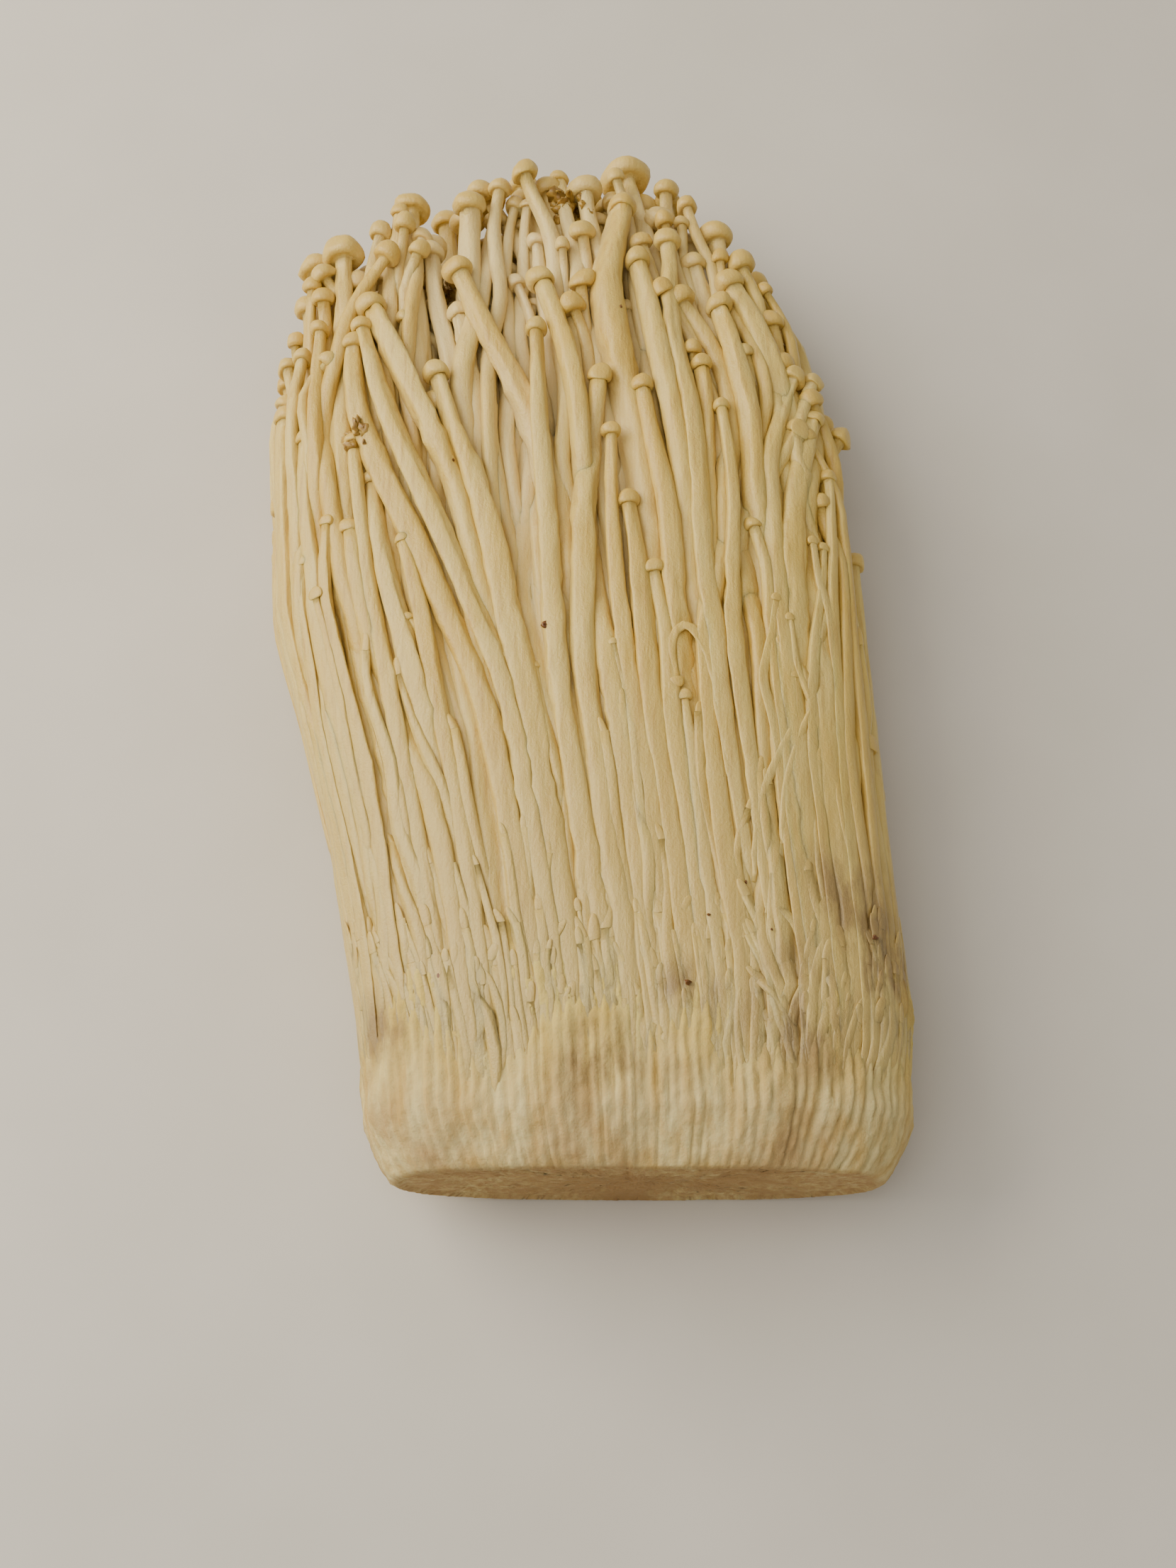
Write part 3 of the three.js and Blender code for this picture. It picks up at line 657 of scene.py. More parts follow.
# ---- the shape of a mushroom ----
def spline(path, ys, at):
    """The path's points at the distances `at`, on a smooth curve through its stations `ys`."""
    index = np.clip(np.searchsorted(ys, at) - 1, 0, len(ys) - 2)
    t = ((at - ys[index]) / (ys[index + 1] - ys[index]))[:, None]
    slope = np.gradient(path, ys, axis=0)
    a = path[index]
    b = path[index + 1]
    step = (ys[index + 1] - ys[index])[:, None]
    da = slope[index] * step
    db = slope[index + 1] * step
    return (
        (2 * t**3 - 3 * t**2 + 1) * a
        + (t**3 - 2 * t**2 + t) * da
        + (-2 * t**3 + 3 * t**2) * b
        + (t**3 - t**2) * db
    )


def eased(path):
    """The path with its dives over or under other stems spread out, and its tip not bent up."""
    path = path.copy()
    for _ in range(EASE_PASSES):
        dives = np.abs(np.diff(path[:, 1])) > STEEP_DIVE
        near = np.flatnonzero(dives[:-1] | dives[1:]) + 1
        path[near] = (path[near - 1] + 2 * path[near] + path[near + 1]) / 4
    path[-1, 1] = path[-2, 1] + np.clip(path[-1, 1] - path[-2, 1], -STEEP_DIVE, STEEP_DIVE)
    return path


def centreline(m, look, rng):
    """Points along the stem's middle from where it shows to the top of the cap, or None."""
    settled = eased(m.path)
    stations = ROOT_END + STATION * np.arange(len(settled))
    end_y = m.tip_y + CAP_BEYOND_TIP * m.cap
    onward = (settled[-1] - settled[-2]) / STATION
    path = np.vstack([settled, settled[-1] + onward * (end_y - stations[-1])])
    stations = np.append(stations, end_y)
    start = shows_from(path, stations)
    if end_y - start < LEAST_SHOWN * m.cap:
        return None
    count = max(6, int((end_y - start) / look.ring))
    ys = np.linspace(start, end_y, count)
    xz = spline(path, stations, ys)
    phase = rng.uniform(0, FULL_TURN, 4)
    wave = rng.uniform(*SWAY_LENGTH, 2)
    fade = np.clip((m.tip_y - ys) / SWAY_FADES, 0, 1)
    fade *= np.clip((ys - STEM_FROM) / SWAY_FADES, 0, 1)
    for c in (0, 1):
        sway = np.sin(FULL_TURN * ys / wave[c] + phase[c])
        xz[:, c] += look.wander * m.stem * fade * sway
    middle, _, height = bunch_at(ys)
    dive = np.clip((CLUMP_TOP - ys) / (CLUMP_TOP - STEM_FROM), 0, 1)
    sunk = 1 - ROOTS_DIVE * dive
    x = middle + (xz[:, 0] - middle) * sunk
    z = height / 2 + (xz[:, 1] - height / 2) * sunk
    return np.stack([x, ys, z], axis=1)


def shows_from(path, stations):
    """How far along the stem comes out of the root clump, and out of the core for good."""
    core_skin = inset_at(stations, CORE_ROWS) + BURIED_BY
    buried = depth_in(path[:, 0], stations, path[:, 1]) > core_skin
    buried &= stations < CORE_ROWS[-1][0]
    if buried.any():
        return max(STEM_FROM, stations[np.flatnonzero(buried)[-1]])
    return STEM_FROM


def along(points, distances):
    """Positions and unit tangents at distances along a polyline, and its length."""
    steps = np.linalg.norm(np.diff(points, axis=0), axis=1)
    reached = np.concatenate([[0], np.cumsum(steps)])
    positions = np.stack([np.interp(distances, reached, points[:, c]) for c in range(3)], axis=1)
    slopes = np.gradient(points, reached, axis=0)
    tangents = np.stack([np.interp(distances, reached, slopes[:, c]) for c in range(3)], axis=1)
    return positions, tangents / np.linalg.norm(tangents, axis=1)[:, None], reached[-1]


def cap_profile(cap, neck, taper, rng):
    """The cap from under its rolled rim to its crown: [radius, height] rows, and its height.

    Heights are from the rim's lower edge, in millimetres.
    """
    widest = cap * rng.uniform(0.34, 0.52)
    tall = taper * cap * np.interp(cap, *CAP_HEIGHT_AT) * rng.uniform(0.88, 1.1)
    full = rng.uniform(0.8, 1.02)
    inside = max(0.6 * cap, 1.03 * neck)
    rows = [(inside, CAP_LIP * cap)]
    rows += [(mix(inside, cap, math.sin(a)), widest * (1 - math.cos(a))) for a in CAP_RINGS_UNDER]
    rows += [(cap * math.cos(a) ** full, mix(widest, tall, math.sin(a))) for a in CAP_RINGS_OVER]
    return np.array(rows), tall


def stem_radii(m, up, to_lip, rng):
    """The stem's radius at shares of its length and distances below the cap."""
    narrowed = rng.uniform(0.0, 0.2)
    over = rng.uniform(6, 20)
    swell = 1
    for height, least, most in SWELLS:
        swell = swell + height * np.sin(up * rng.uniform(least, most) + rng.uniform(0, PHASES))
    neck = 1 - narrowed * np.exp(-((to_lip / over) ** 2))
    plump = mix(1, PLUMP, np.clip(to_lip / PLUMP_FROM, 0, 1))
    return m.stem * stem_shape(up) * swell * neck * plump


def pressed(distance, theta, look, rng):
    """How far the stem's section strays from round: a share of its radius for each vertex."""
    oval = look.oval * rng.uniform(0.3, 1.6)
    three = 0.5 * look.oval * rng.uniform(0, 1)
    twist = rng.uniform(-0.02, 0.02) * distance[:, None]
    turn = rng.uniform(0, FULL_TURN, 3)
    drift = 0.7 * np.sin(distance[:, None] / rng.uniform(9, 16) + turn[2])
    folds = rng.integers(4, 7)
    return (
        oval * np.cos(2 * (theta[None, :] - turn[0] + twist))
        + three * np.cos(3 * (theta[None, :] - turn[1] - twist) + drift)
        + 0.03 * np.cos(folds * theta[None, :] + 2 * drift)
        + lumps(distance, theta, look, rng)
    )


def lumps(distance, theta, look, rng):
    """Small lumps and dents over a mushroom's skin, rougher in some places along it."""
    start = rng.uniform(0, NOISE_RANGE)
    if look.lumps == 0:
        return 0
    ring = [(LUMPS_AROUND * math.cos(a), LUMPS_AROUND * math.sin(a) + start) for a in theta]
    rows = []
    for d in distance:
        roughness = noise.noise(Vector((start, d / ROUGH_LENGTH, 3)))
        rough = 0.5 + ROUGHER_BY * max(0, roughness)
        rows.append([rough * noise.noise(Vector((x, y, d / LUMP_LENGTH))) for x, y in ring])
    return look.lumps * np.array(rows)


def uneven(theta, rng):
    """How far a cap's rim strays from round, as a share of its radius."""
    turn = rng.uniform(0, FULL_TURN, 3)
    total = 0
    for (waves, most), phase in zip(CAP_RIM_WAVES, turn):
        total = total + rng.uniform(0, most) * np.cos(waves * theta + phase)
    return total


def skin_faces(rings, n):
    """The quads between successive rings of n vertices."""
    j = np.arange(n)
    next_j = (j + 1) % n
    made = []
    for a in range(0, (rings - 1) * n, n):
        made.append(np.stack([a + j, a + n + j, a + n + next_j, a + next_j], axis=1))
    return np.vstack(made).tolist()


def fan_faces(point, first, n):
    """The triangles from a point to the ring of n vertices that starts at `first`."""
    j = np.arange(n)
    return np.stack([np.full(n, point), first + j, first + (j + 1) % n], axis=1).tolist()


def flipped(faces):
    return [face[::-1] for face in faces]


def closed_faces(rings, n):
    """The faces of a tube of rings, closed at each end by one of the two points after them."""
    point = rings * n
    far_end = flipped(fan_faces(point + 1, point - n, n))
    return skin_faces(rings, n) + fan_faces(point, 0, n) + far_end


def mushroom_mesh(m, rng):
    """Vertices, faces and cap share of one mushroom, or None if none of it shows."""
    look = LOOKS[m.kind]
    points = centreline(m, look, rng) if isinstance(m, Mushroom) else m.line
    if points is None:
        return None
    length = along(points, np.zeros(1))[2]
    taper = PIN_TAPER if m.cap < m.stem else 1
    rows, tall = cap_profile(m.cap, NECK * m.stem, taper, rng)
    lip = length - tall
    count = max(4, int(lip / look.ring))
    stem_at = np.linspace(0, lip + CAP_LIP * m.cap, count)
    up = np.clip(1 - (length - stem_at) / m.whole, 0, 1)
    radius = np.concatenate([stem_radii(m, up, lip - stem_at, rng), rows[:, 0]])
    distance = np.concatenate([stem_at, lip + rows[:, 1]])
    is_cap = np.concatenate([np.zeros(count), np.linspace(0.3, 1, len(rows))])

    position, tangent, _ = along(points, distance)
    nod = rng.normal(0, CAP_NOD, 2)
    side = np.cross(tangent, (0, 0, 1))
    side /= np.linalg.norm(side, axis=1)[:, None]
    lift = np.cross(side, tangent)
    past = np.maximum(distance - lip, 0)[:, None]
    position = position + past * (nod[0] * side + nod[1] * lift)

    theta = np.linspace(0, FULL_TURN, look.sides, endpoint=False)
    bumps = pressed(distance, theta, look, rng)
    cap_bumps = uneven(theta, rng)[None, :] + CAP_LUMPS * (bumps - bumps.mean())
    reach = radius[:, None] * (1 + np.where(is_cap[:, None] > 0, cap_bumps, bumps))
    ring = position[:, None, :] + reach[..., None] * (
        np.cos(theta)[None, :, None] * side[:, None, :]
        + np.sin(theta)[None, :, None] * lift[:, None, :]
    )
    crown = along(points, np.array([length]))[0]
    crown = crown + tall * (nod[0] * side[-1] + nod[1] * lift[-1])
    vertices = np.vstack([ring.reshape(-1, 3), position[:1], crown])
    faces = closed_faces(len(distance), look.sides)
    return vertices, faces, np.concatenate([np.repeat(is_cap, look.sides), [0, 1]])


# ---- the pieces that mushrooms make ----
def to_world(vertices):
    """From the bunch's own millimetres to the frame's metres, pressed flat on the table."""
    shifted = vertices + np.array([*CENTRING, -PRESSED_FLAT])
    shifted[:, 2] = np.maximum(shifted[:, 2], 0)
    return shifted * MM


def centred(x, y):
    """Where a place on the bunch seen from above is in the frame, in metres."""
    return (x + CENTRING[0]) * MM, (y + CENTRING[1]) * MM


def add_object(name, data):
    made = bpy.data.objects.new(name, data)
    bpy.context.scene.collection.objects.link(made)
    return made


def add_mesh(name, vertices, faces, attributes):
    mesh = bpy.data.meshes.new(name)
    mesh.from_pydata(to_world(vertices).tolist(), [], faces)
    mesh.update()
    for key, values in attributes.items():
        data = mesh.attributes.new(key, "FLOAT", "POINT").data
        data.foreach_set("value", np.asarray(values, np.float32))
    mesh.shade_smooth()
    piece = add_object(name, mesh)
    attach(piece, "root")
    return piece


def add_flesh(name, vertices, faces, cap, tone):
    """A piece of the mushrooms, with what its material reads."""
    attributes = {
        "cap": cap,
        "tone": tone,
        # how much painted gap light each vertex gets
        "depth": painted_gap_light_share(*vertices.T),
        "up": (vertices[:, 1] - ROOT_END) / (CROWN_TIP - ROOT_END),
    }
    piece = add_mesh(name, vertices, faces, attributes)
    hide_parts("mushrooms")
    return piece


def wrapped(vertices):
    """The vertices, with stems that stand out of the bunch pressed flatter, as by a tight wrap."""
    x, y, z = vertices.T
    middle, _, height = bunch_at(y)
    _, p, q = place_of(x, y, z)
    reach = np.maximum(np.hypot(x - middle, z - height / 2), TINY)
    outline = reach / np.maximum(section_radius(p, q), TINY)
    limit = outline - inset_at(y, WRAP_ROWS)
    share = np.minimum(reach, limit + STOOD_PROUD * (reach - limit)) / reach
    wrapped_x = middle + (x - middle) * share
    wrapped_z = height / 2 + (z - height / 2) * share
    return np.column_stack([wrapped_x, y, wrapped_z])


def joined(parts):
    """Several parts as one: their vertices and faces, and each part's value for its vertices."""
    vertices = []
    faces = []
    values = []
    count = 0
    for v, f, value in parts:
        faces += [[i + count for i in face] for face in f]
        count += len(v)
        vertices.append(v)
        values.append(np.full(len(v), value))
    return np.vstack(vertices), faces, np.concatenate(values)


def add_mushrooms(kind, bunch, rng):
    """One piece that holds the mushrooms of a kind."""
    parts = []
    caps = []
    for m in bunch:
        made = mushroom_mesh(m, rng) if m.kind == kind else None
        if made is not None:
            vertices, faces, cap = made
            parts.append((vertices, faces, rng.uniform(-1, 1)))
            caps.append(cap)
    vertices, faces, tone = joined(parts)
    return add_flesh(f"mushrooms_{kind}", wrapped(vertices), faces, np.concatenate(caps), tone)


def lump_mesh(centre, radius, rng):
    """A small crumpled lump: its vertices and faces."""
    around = 10
    rings = 6
    start = Vector((rng.uniform(0, NOISE_RANGE), 0, 0))
    stretch = rng.uniform(*SCRAP_STRETCH, 3)
    vertices = []
    for down in np.linspace(0.12, math.pi - 0.12, rings):
        for turn in np.linspace(0, FULL_TURN, around, endpoint=False):
            flat = math.sin(down)
            out = Vector((flat * math.cos(turn), flat * math.sin(turn), math.cos(down)))
            crumpled = SCRAP_CRUMPLE * noise.noise(out * SCRAP_CRUMPLES + start)
            vertices.append(np.array(centre) + radius * (1 + crumpled) * np.array(out) * stretch)
    faces = flipped(skin_faces(rings, around))
    last = (rings - 1) * around
    faces.append(list(range(around)))
    faces.append(list(range(last + around - 1, last - 1, -1)))
    return np.array(vertices), faces


def add_specks(pieces, rng):
    """Dark specks on the skin, and scraps between the caps that are partly torn bits and partly
    stand-ins for shade, as one piece.
    """
    parts = []
    for x, y, radius in SPECKS:
        parts.append((*lump_mesh((x, y, skin_height(pieces, x, y)), radius, rng), 1))
    # the scraps are partly torn bits of cap and partly dark lumps standing in for the shade in the
    # hollows between the caps
    for x, y, z, spread, count in SCRAPS_AND_SHADE_LUMPS:
        for _ in range(count):
            centre = (x, y, z) + rng.uniform(-spread, spread, 3)
            radius = rng.uniform(*SCRAP_RADIUS)
            skin = skin_height(pieces, centre[0], centre[1])
            if skin > DEEP_GAP:
                centre[2] = min(centre[2], skin)
                parts.append((*lump_mesh(centre, radius, rng), 0))
    vertices, faces, dark = joined(parts)
    piece = add_mesh("mushrooms_specks_and_shade_lumps", vertices, faces, {"dark": dark})
    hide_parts("mushrooms")
    return piece


def skin_height(pieces, x, y):
    """Height of the topmost skin at a place seen from above."""
    above = Vector((*centred(x, y), ABOVE_ALL))
    hits = [piece.ray_cast(above, Vector((0, 0, -1))) for piece in pieces]
    return max((point.z for hit, point, _, _ in hits if hit), default=0) / MM + PRESSED_FLAT


# ---- the core and the root clump ----
def even_outline(count, y):
    """Places (p, q) on the unit section, evenly spaced round the bunch's outline at y."""
    theta = np.linspace(0, FULL_TURN, OUTLINE_STEPS)
    out = section_radius(np.cos(theta), np.sin(theta))
    p = np.cos(theta) / out
    q = np.sin(theta) / out
    _, half, height = bunch_at(y)
    steps = np.hypot(np.diff(half * p), np.diff(height / 2 * q))
    reached = np.concatenate([[0], np.cumsum(steps)])
    at = np.linspace(0, reached[-1], count, endpoint=False)
    return np.interp(at, reached, p), np.interp(at, reached, q)


def flutes(around, y, count, row):
    """From 0 to 1: the rounded backs of stems that run side by side round a fused skin."""
    drift = 0
    for by, times, length in FLUTE_DRIFTS:
        drift += by * noise.noise(Vector((around * times, y / length, row)))
    across = (around * count + drift) % 1
    return math.sqrt(1 - (2 * across - 1) ** 2)


def add_core():
    """The stems that fill the inside of the bunch, as one fluted solid."""
    p, q = even_outline(CORE_AROUND, 0)
    root, top = CORE_ROWS[0][0], CORE_ROWS[-1][0]
    points = []
    for y in np.linspace(root, top, CORE_RINGS):
        section = bunch_at(y)
        inset = inset_at(y, CORE_ROWS)
        for k in range(CORE_AROUND):
            back = flutes(k / CORE_AROUND, y, CORE_FLUTES, row=5)
            raised = CORE_FLUTE_HEIGHT * back - inset
            points.append(skin_point(section, y, p[k], q[k], raised))
    points.append(skin_point(bunch_at(root), root, 0, 0, 0))
    points.append(skin_point(bunch_at(top), top + CORE_POINT, 0, 0, 0))
    vertices = np.array(points)
    faces = flipped(closed_faces(CORE_RINGS, CORE_AROUND))
    none = np.zeros(len(vertices))
    return add_flesh("mushrooms_core", vertices, faces, none, none)


def clump_relief(around, x, y, z):
    """Height of the clump's skin, in millimetres: fused stem bases under a felt of mycelium."""
    clear = min(1, max(0, (y - ROOT_END) / BACKS_FAINT_OVER))
    backs = flutes(around, y, BACKS, row=2)
    streaks = noise.noise(Vector((around * STREAKS_AROUND, y / STREAK_LENGTH, 8)))
    relief = BACKS_HEIGHT * backs * mix(BACKS_FAINT, 1, clear)
    for (across, along_stems, up), settings, height in FRACTALS:
        point = Vector((x / across, y / along_stems, z / up))
        relief += height * noise.fractal(point, *settings)
    return relief + STREAK_HEIGHT * streaks


def clump_side():
    """The rings of the clump's side, from its cut face up."""
    p, q = even_outline(CLUMP_AROUND, CLUMP_SECTION)
    points = []
    for y in np.linspace(CLUMP_ROWS[0, 0], CLUMP_ROWS[-1, 0], CLUMP_RINGS):
        section = bunch_at(y)
        inset = inset_at(y, CLUMP_ROWS)
        for k in range(CLUMP_AROUND):
            smooth = skin_point(section, y, p[k], q[k], -inset)
            raised = clump_relief(k / CLUMP_AROUND, *smooth) - inset
            points.append(skin_point(section, y, p[k], q[k], raised))
    return points


def cut_face(edge):
    """The rings of the cut face, from next to its middle out to just inside its edge."""
    middle, _, height = bunch_at(ROOT_END)
    points = []
    for i in range(CUT_RINGS - 1, 0, -1):
        share = 1 - i / CUT_RINGS
        for edge_x, _, edge_z in edge:
            x = mix(middle, edge_x, share)
            z = mix(height / 2, edge_z, share)
            deep = 0
            for size, row, settings, depth in PITS:
                deep += depth * noise.fractal(Vector((x / size, row, z / size)), *settings)
            deep = min(CUT_DEEPEST, abs(deep))
            points.append((x, ROOT_END + CUT_SUNK + deep * (1 - share**CUT_RIM), z))
    return points


def add_root_clump():
    """The root clump as one closed tube, from the middle of its cut face to inside the bunch."""
    side = clump_side()
    cut = cut_face(side[:CLUMP_AROUND])
    top = CLUMP_ROWS[-1, 0]
    middle_of_cut = skin_point(bunch_at(ROOT_END), ROOT_END + CUT_MIDDLE_SUNK, 0, 0, 0)
    middle_of_top = skin_point(bunch_at(top), top, 0, 0, 0)
    vertices = np.array([*cut, *side, middle_of_cut, middle_of_top])
    is_cut = np.zeros(len(vertices))
    is_cut[:len(cut)] = 1
    is_cut[len(cut):len(cut) + CLUMP_AROUND] = CUT_EDGE_COLOUR
    is_cut[-2] = 1
    faces = flipped(closed_faces(CUT_RINGS - 1 + CLUMP_RINGS, CLUMP_AROUND))
    attributes = {"cut": is_cut, "up": (vertices[:, 1] - ROOT_END) / CLUMP_HEIGHT}
    piece = add_mesh("root_clump_mat", vertices, faces, attributes)
    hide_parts("root_clump")
    return piece


# ---- materials ----
class Shader:
    """A material's node tree, with short ways to add and link nodes.

    A value is another node's output, or a plain number or colour.
    """

    def __init__(self, name):
        self.material = bpy.data.materials.new(name)
        self.material.use_nodes = True
        self.tree = self.material.node_tree
        self.bsdf = self.tree.nodes["Principled BSDF"]

    def feed(self, socket, value):
        if isinstance(value, bpy.types.NodeSocket):
            self.tree.links.new(value, socket)
        else:
            socket.default_value = value

    def add(self, kind, inputs, **settings):
        node = self.tree.nodes.new(kind)
        for key, value in settings.items():
            setattr(node, key, value)
        for key, value in inputs.items():
            self.feed(node.inputs[key], value)
        return node

    def attribute(self, name):
        return self.add("ShaderNodeAttribute", {}, attribute_name=name).outputs["Fac"]

    def place(self, scale):
        where = self.add("ShaderNodeTexCoord", {}).outputs["Object"]
        return self.add("ShaderNodeMapping", {"Vector": where, "Scale": scale}).outputs["Vector"]

    def noise(self, scale, along=1.0, detail=3, roughness=0.5):
        """Noise of so many cells to the metre, or `along` times as many along the stems."""
        where = self.place((1, along, 1))
        inputs = {"Vector": where, "Scale": scale, "Detail": detail, "Roughness": roughness}
        return self.add("ShaderNodeTexNoise", inputs).outputs["Fac"]

    def specks(self, scale, along, size):
        """1 within `size` of the scattered points of a Voronoi pattern, 0 elsewhere."""
        inputs = {"Vector": self.place((1, along, 1)), "Scale": scale}
        cells = self.add("ShaderNodeTexVoronoi", inputs)
        return self.maths("LESS_THAN", cells.outputs["Distance"], size)

    def near(self, x, y, reach):
        """1 at a place on the bunch seen from above, falling to 0 at `reach` from it."""
        flat = self.place((1, 1, 0))
        spot = (*centred(x, y), 0)
        away = self.add("ShaderNodeVectorMath", {0: flat, 1: spot}, operation="DISTANCE")
        return self.ramp(away.outputs["Value"], reach * MM, 0)

    def ramp(self, value, low, high):
        """0 where the value is at low or beyond it, 1 at high, and evenly between."""
        inputs = {"Value": value, "From Min": low, "From Max": high}
        return self.add("ShaderNodeMapRange", inputs).outputs["Result"]

    def maths(self, operation, a, b):
        return self.add("ShaderNodeMath", {0: a, 1: b}, operation=operation).outputs[0]

    def times(self, a, b):
        return self.maths("MULTIPLY", a, b)

    def blend(self, amount, a, b):
        # A colour mix has its factor and colours at inputs 0, 6 and 7, and its result at output 2.
        return self.add("ShaderNodeMix", {0: amount, 6: a, 7: b}, data_type="RGBA").outputs[2]

    def layered(self, base, *layers):
        """The base under layers of colour: where each shows, how strongly, and its colour."""
        for where, strength, tint in layers:
            base = self.blend(self.times(where, strength), base, tint)
        return base

    def bump(self, height, distance, under=None):
        inputs = {"Height": height, "Distance": distance}
        if under is not None:
            inputs["Normal"] = under
        return self.add("ShaderNodeBump", inputs).outputs["Normal"]

    def finish(self, **inputs):
        for key, value in inputs.items():
            self.feed(self.bsdf.inputs[key.replace("_", " ")], value)
        return self.material


def stained(s):
    """How much of the grey-brown stain near the root clump shows, from 0 to 1."""
    blots = s.ramp(s.noise(220, along=0.4, detail=5, roughness=0.6), 0.4, 0.62)
    total = 0.0
    for x, y, reach in STAINS:
        total = s.maths("ADD", total, s.near(x, y, reach))
    return s.maths("MINIMUM", s.times(s.times(total, blots), STAIN_GAIN), STAIN_MOST)


def flesh(name, see_through, scatter):
    """Moist, slightly see-through cream flesh, finely streaked along the stems, and painted paler
    deep in the bunch as light in the gaps.
    """
    s = Shader(name)
    streaks = s.noise(1500, along=0.06, detail=5, roughness=0.6)
    patches = s.noise(160, along=0.4, detail=4)
    tone = s.ramp(s.attribute("tone"), -1, 1)
    cap = s.attribute("cap")
    stem = s.ramp(cap, 1.0, 0.1)
    base = s.layered(
        s.blend(s.ramp(patches, 0.35, 0.65), CREAM, PALE),
        (s.ramp(tone, 0.45, 1.0), 0.4, BUTTER),
        (s.ramp(tone, 0.4, 0.0), 0.3, MILKY),
        (s.times(s.ramp(streaks, 0.5, 0.75), stem), 0.5, STREAK),
        (s.times(s.ramp(streaks, 0.45, 0.2), stem), 0.5, MILKY),
        (cap, 0.5, BUTTER),
        (s.ramp(s.attribute("up"), 0.45, 0.0), 1, GREY_TAN),
        # painted gap light: flesh deep in the bunch painted paler, to offset the shade between the
        # stems
        (s.ramp(s.attribute("depth"), 0.12, 0.5), 0.8, GAP_LIGHT_PAINT),
        (stained(s), 1, STAIN),
        (s.specks(55, along=0.6, size=0.013), 1, FLECK),
    )
    wrinkles = s.noise(520, along=0.35, detail=6, roughness=0.62)
    grain = s.noise(2600, detail=3, roughness=0.6)
    normal = s.bump(wrinkles, s.times(stem, 0.0003))
    normal = s.bump(streaks, s.times(stem, 0.0001), under=normal)
    normal = s.bump(grain, 0.0001, under=normal)
    return s.finish(
        Base_Color=base,
        Roughness=s.maths("ADD", s.times(patches, 0.28), 0.27),
        Normal=normal,
        Subsurface_Weight=see_through,
        Subsurface_Radius=(1.0, 0.95, 0.82),
        Subsurface_Scale=scatter,
        Coat_Weight=0.12,
        Coat_Roughness=0.28,
    )


def torn_bits_and_shade_lumps():
    """Amber scraps, partly standing in for the shade in the hollows between the caps, and dark brown
    specks.
    """
    s = Shader("torn_bits_and_shade_lumps")
    mottle = s.ramp(s.noise(900, detail=4), 0.35, 0.65)
    scrap = s.blend(mottle, SCRAP_PALE, SCRAP_AND_SHADE_BROWN)
    return s.finish(
        Base_Color=s.blend(s.attribute("dark"), scrap, SPECK),
        Roughness=0.4,
        Subsurface_Weight=0.4,
        Subsurface_Radius=(1.0, 0.85, 0.6),
        Subsurface_Scale=0.0005,
    )


def mat():
    """Matt felted mycelium over fused stem bases, stained, with a browner cut face."""
    s = Shader("matted_mycelium_fine")
    felt = s.noise(900, detail=6, roughness=0.65)
    streaks = s.noise(420, along=0.15, detail=4)
    stains = s.noise(75, along=0.6, detail=5, roughness=0.6)
    up = s.attribute("up")
    streaked = s.ramp(streaks, 0.4, 0.7)
    fused = s.blend(streaked, PALE, CREAM)
    felted = s.blend(streaked, FELT_PALE, FELT_TAN)
    base = s.layered(
        s.blend(s.ramp(up, 0.25, 0.7), felted, fused),
        (s.ramp(stains, 0.52, 0.68), 0.6, FELT_STAIN),
        (s.times(s.attribute("cut"), s.ramp(felt, 0.3, 0.6)), 1, CUT_BROWN),
        (stained(s), 1, STAIN),
        (s.times(s.ramp(up, 0.35, 0.0), s.ramp(stains, 0.4, 0.62)), 1, FOOT_STAIN),
    )
    normal = s.bump(felt, 0.0003)
    normal = s.bump(streaks, 0.0003, under=normal)
    return s.finish(
        Base_Color=base,
        Roughness=0.85,
        Normal=normal,
        Subsurface_Weight=0.25,
        Subsurface_Radius=(1.0, 0.65, 0.35),
        Subsurface_Scale=0.0010,
    )


def table_top():
    s = Shader("pale_table")
    mottle = s.ramp(s.noise(30, detail=4), 0.3, 0.7)
    return s.finish(Base_Color=s.blend(mottle, TABLE_PALE, TABLE_PALER), Roughness=0.55)


# ---- the stage ----
def add_floor():
    mesh = bpy.data.meshes.new("table_top")
    far = 3.0
    corners = [(-far, -far, 0), (far, -far, 0), (far, far, 0), (-far, far, 0)]
    mesh.from_pydata(corners, [], [(0, 1, 2, 3)])
    mesh.materials.append(table_top())
    floor = add_object("table_top", mesh)
    floor.location.z = -TABLE_DROP


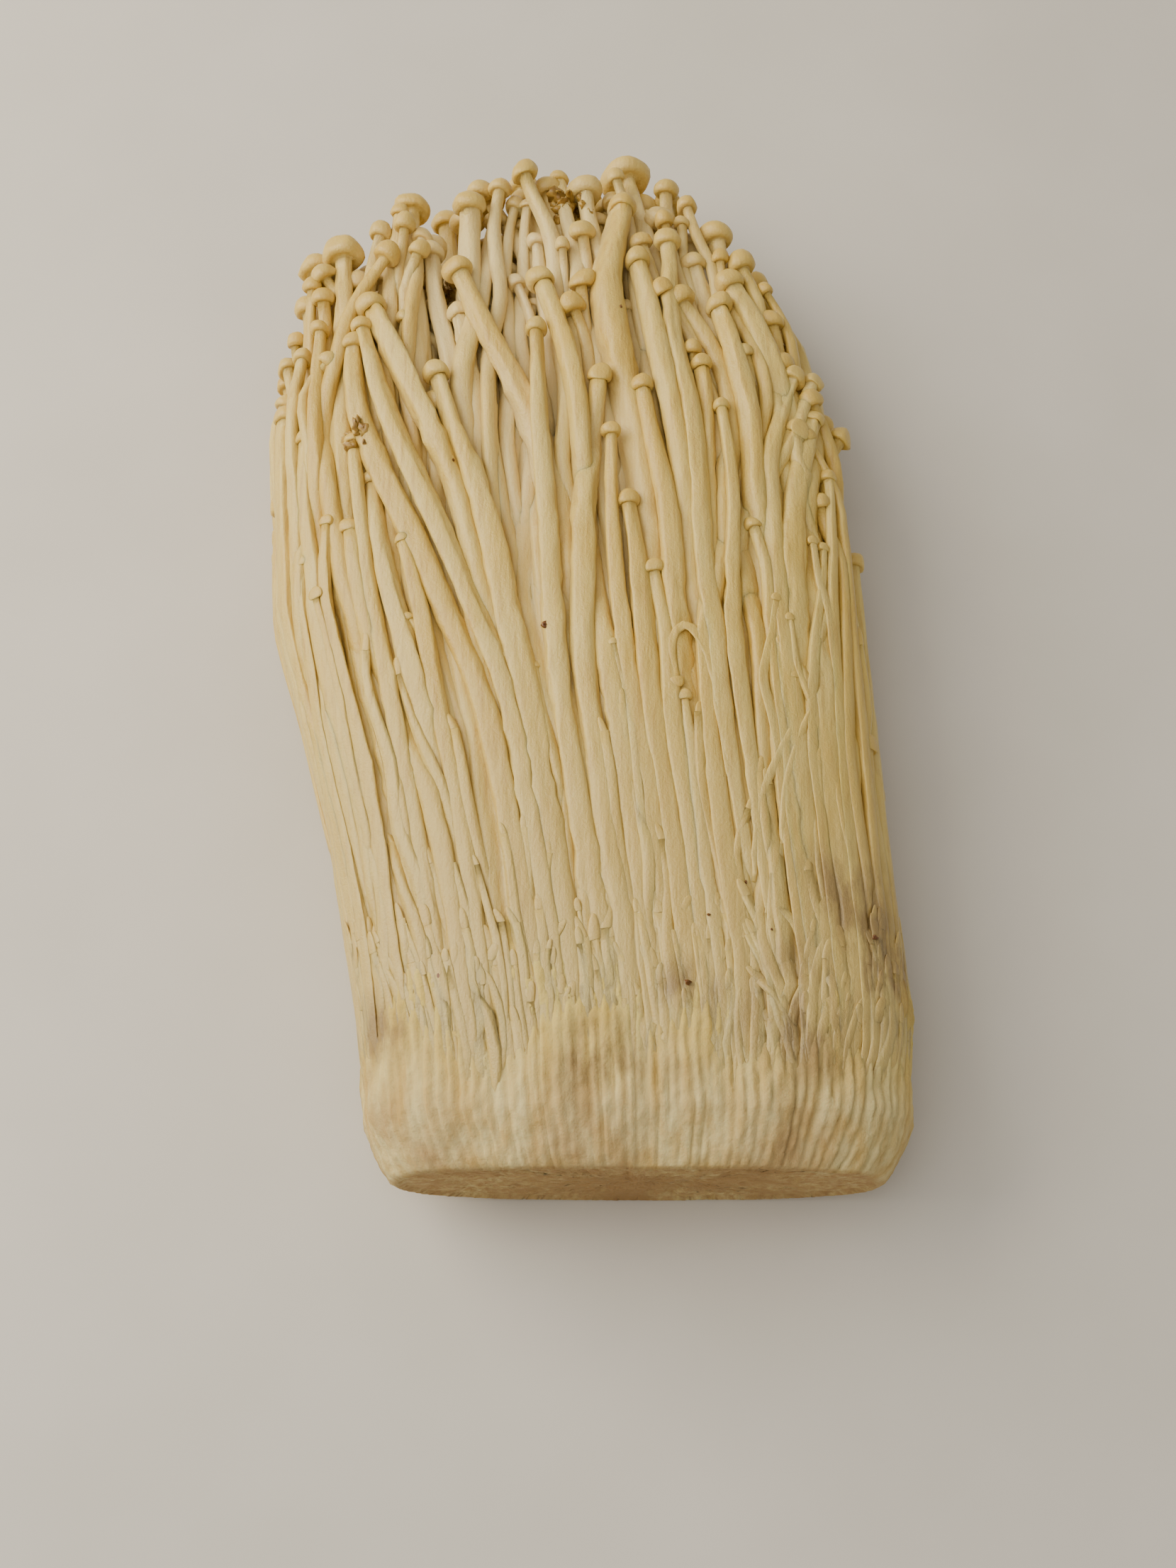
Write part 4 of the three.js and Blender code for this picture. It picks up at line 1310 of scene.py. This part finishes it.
def add_light(name, lamp):
    data = bpy.data.lights.new(name, "AREA")
    data.shape = "DISK"
    data.size = lamp.size
    data.energy = lamp.power
    data.color = lamp.warmth
    light = add_object(name, data)
    light.location = lamp.at
    light.rotation_euler = (-Vector(lamp.at)).to_track_quat("-Z", "Y").to_euler()


def add_camera():
    data = bpy.data.cameras.new("camera")
    data.lens = 49.18
    data.sensor_width = 36
    data.clip_start = 0.01
    data.dof.use_dof = False
    camera = add_object("camera", data)
    x, y, z = CAMERA_AT
    camera.location = (*centred(x, y), (z - PRESSED_FLAT) * MM)
    camera.rotation_euler = (CAMERA_TILT, 0, 0)
    bpy.context.scene.camera = camera


def add_world():
    world = bpy.data.worlds.new("studio")
    world.use_nodes = True
    background = world.node_tree.nodes["Background"]
    background.inputs["Color"].default_value = SKY_COLOUR
    background.inputs["Strength"].default_value = SKY_STRENGTH
    bpy.context.scene.world = world


# ---- putting it together ----
def settled_bunch(rng):
    """All the mushrooms but the strays, each kind settled among those before it."""
    bunch = [*upper_face(), *rest_of_bunch()]
    settle(bunch, ROUNDS)
    for make in (slim_ones, crown_ones, low_ones):
        standing = len(bunch)
        bunch += make(rng)
        settle(bunch, FILL_ROUNDS, standing)
    return bunch


def dress(pieces, material):
    for piece in pieces:
        piece.data.materials.append(material)


def main():
    add_camera()
    add_world()
    add_light("key", KEY)
    add_light("fill", FILL)
    add_floor()

    rng = np.random.default_rng(SEED)
    bunch = settled_bunch(rng)
    bunch += [Stray(cap / 2, stem / 2, line) for cap, stem, *line in STRAYS]
    thick_pieces = [add_mushrooms(kind, bunch, rng) for kind in THICK_KINDS]
    thick_pieces.append(add_core())
    thin_pieces = [add_mushrooms(kind, bunch, rng) for kind in THIN_KINDS]
    dress(thick_pieces, flesh("mushroom_flesh_thick", see_through=0.55, scatter=0.0007))
    dress(thin_pieces, flesh("mushroom_flesh_thin", see_through=0.4, scatter=0.0005))
    dress([add_specks(thick_pieces + thin_pieces, rng)], torn_bits_and_shade_lumps())
    dress([add_root_clump()], mat())


main()
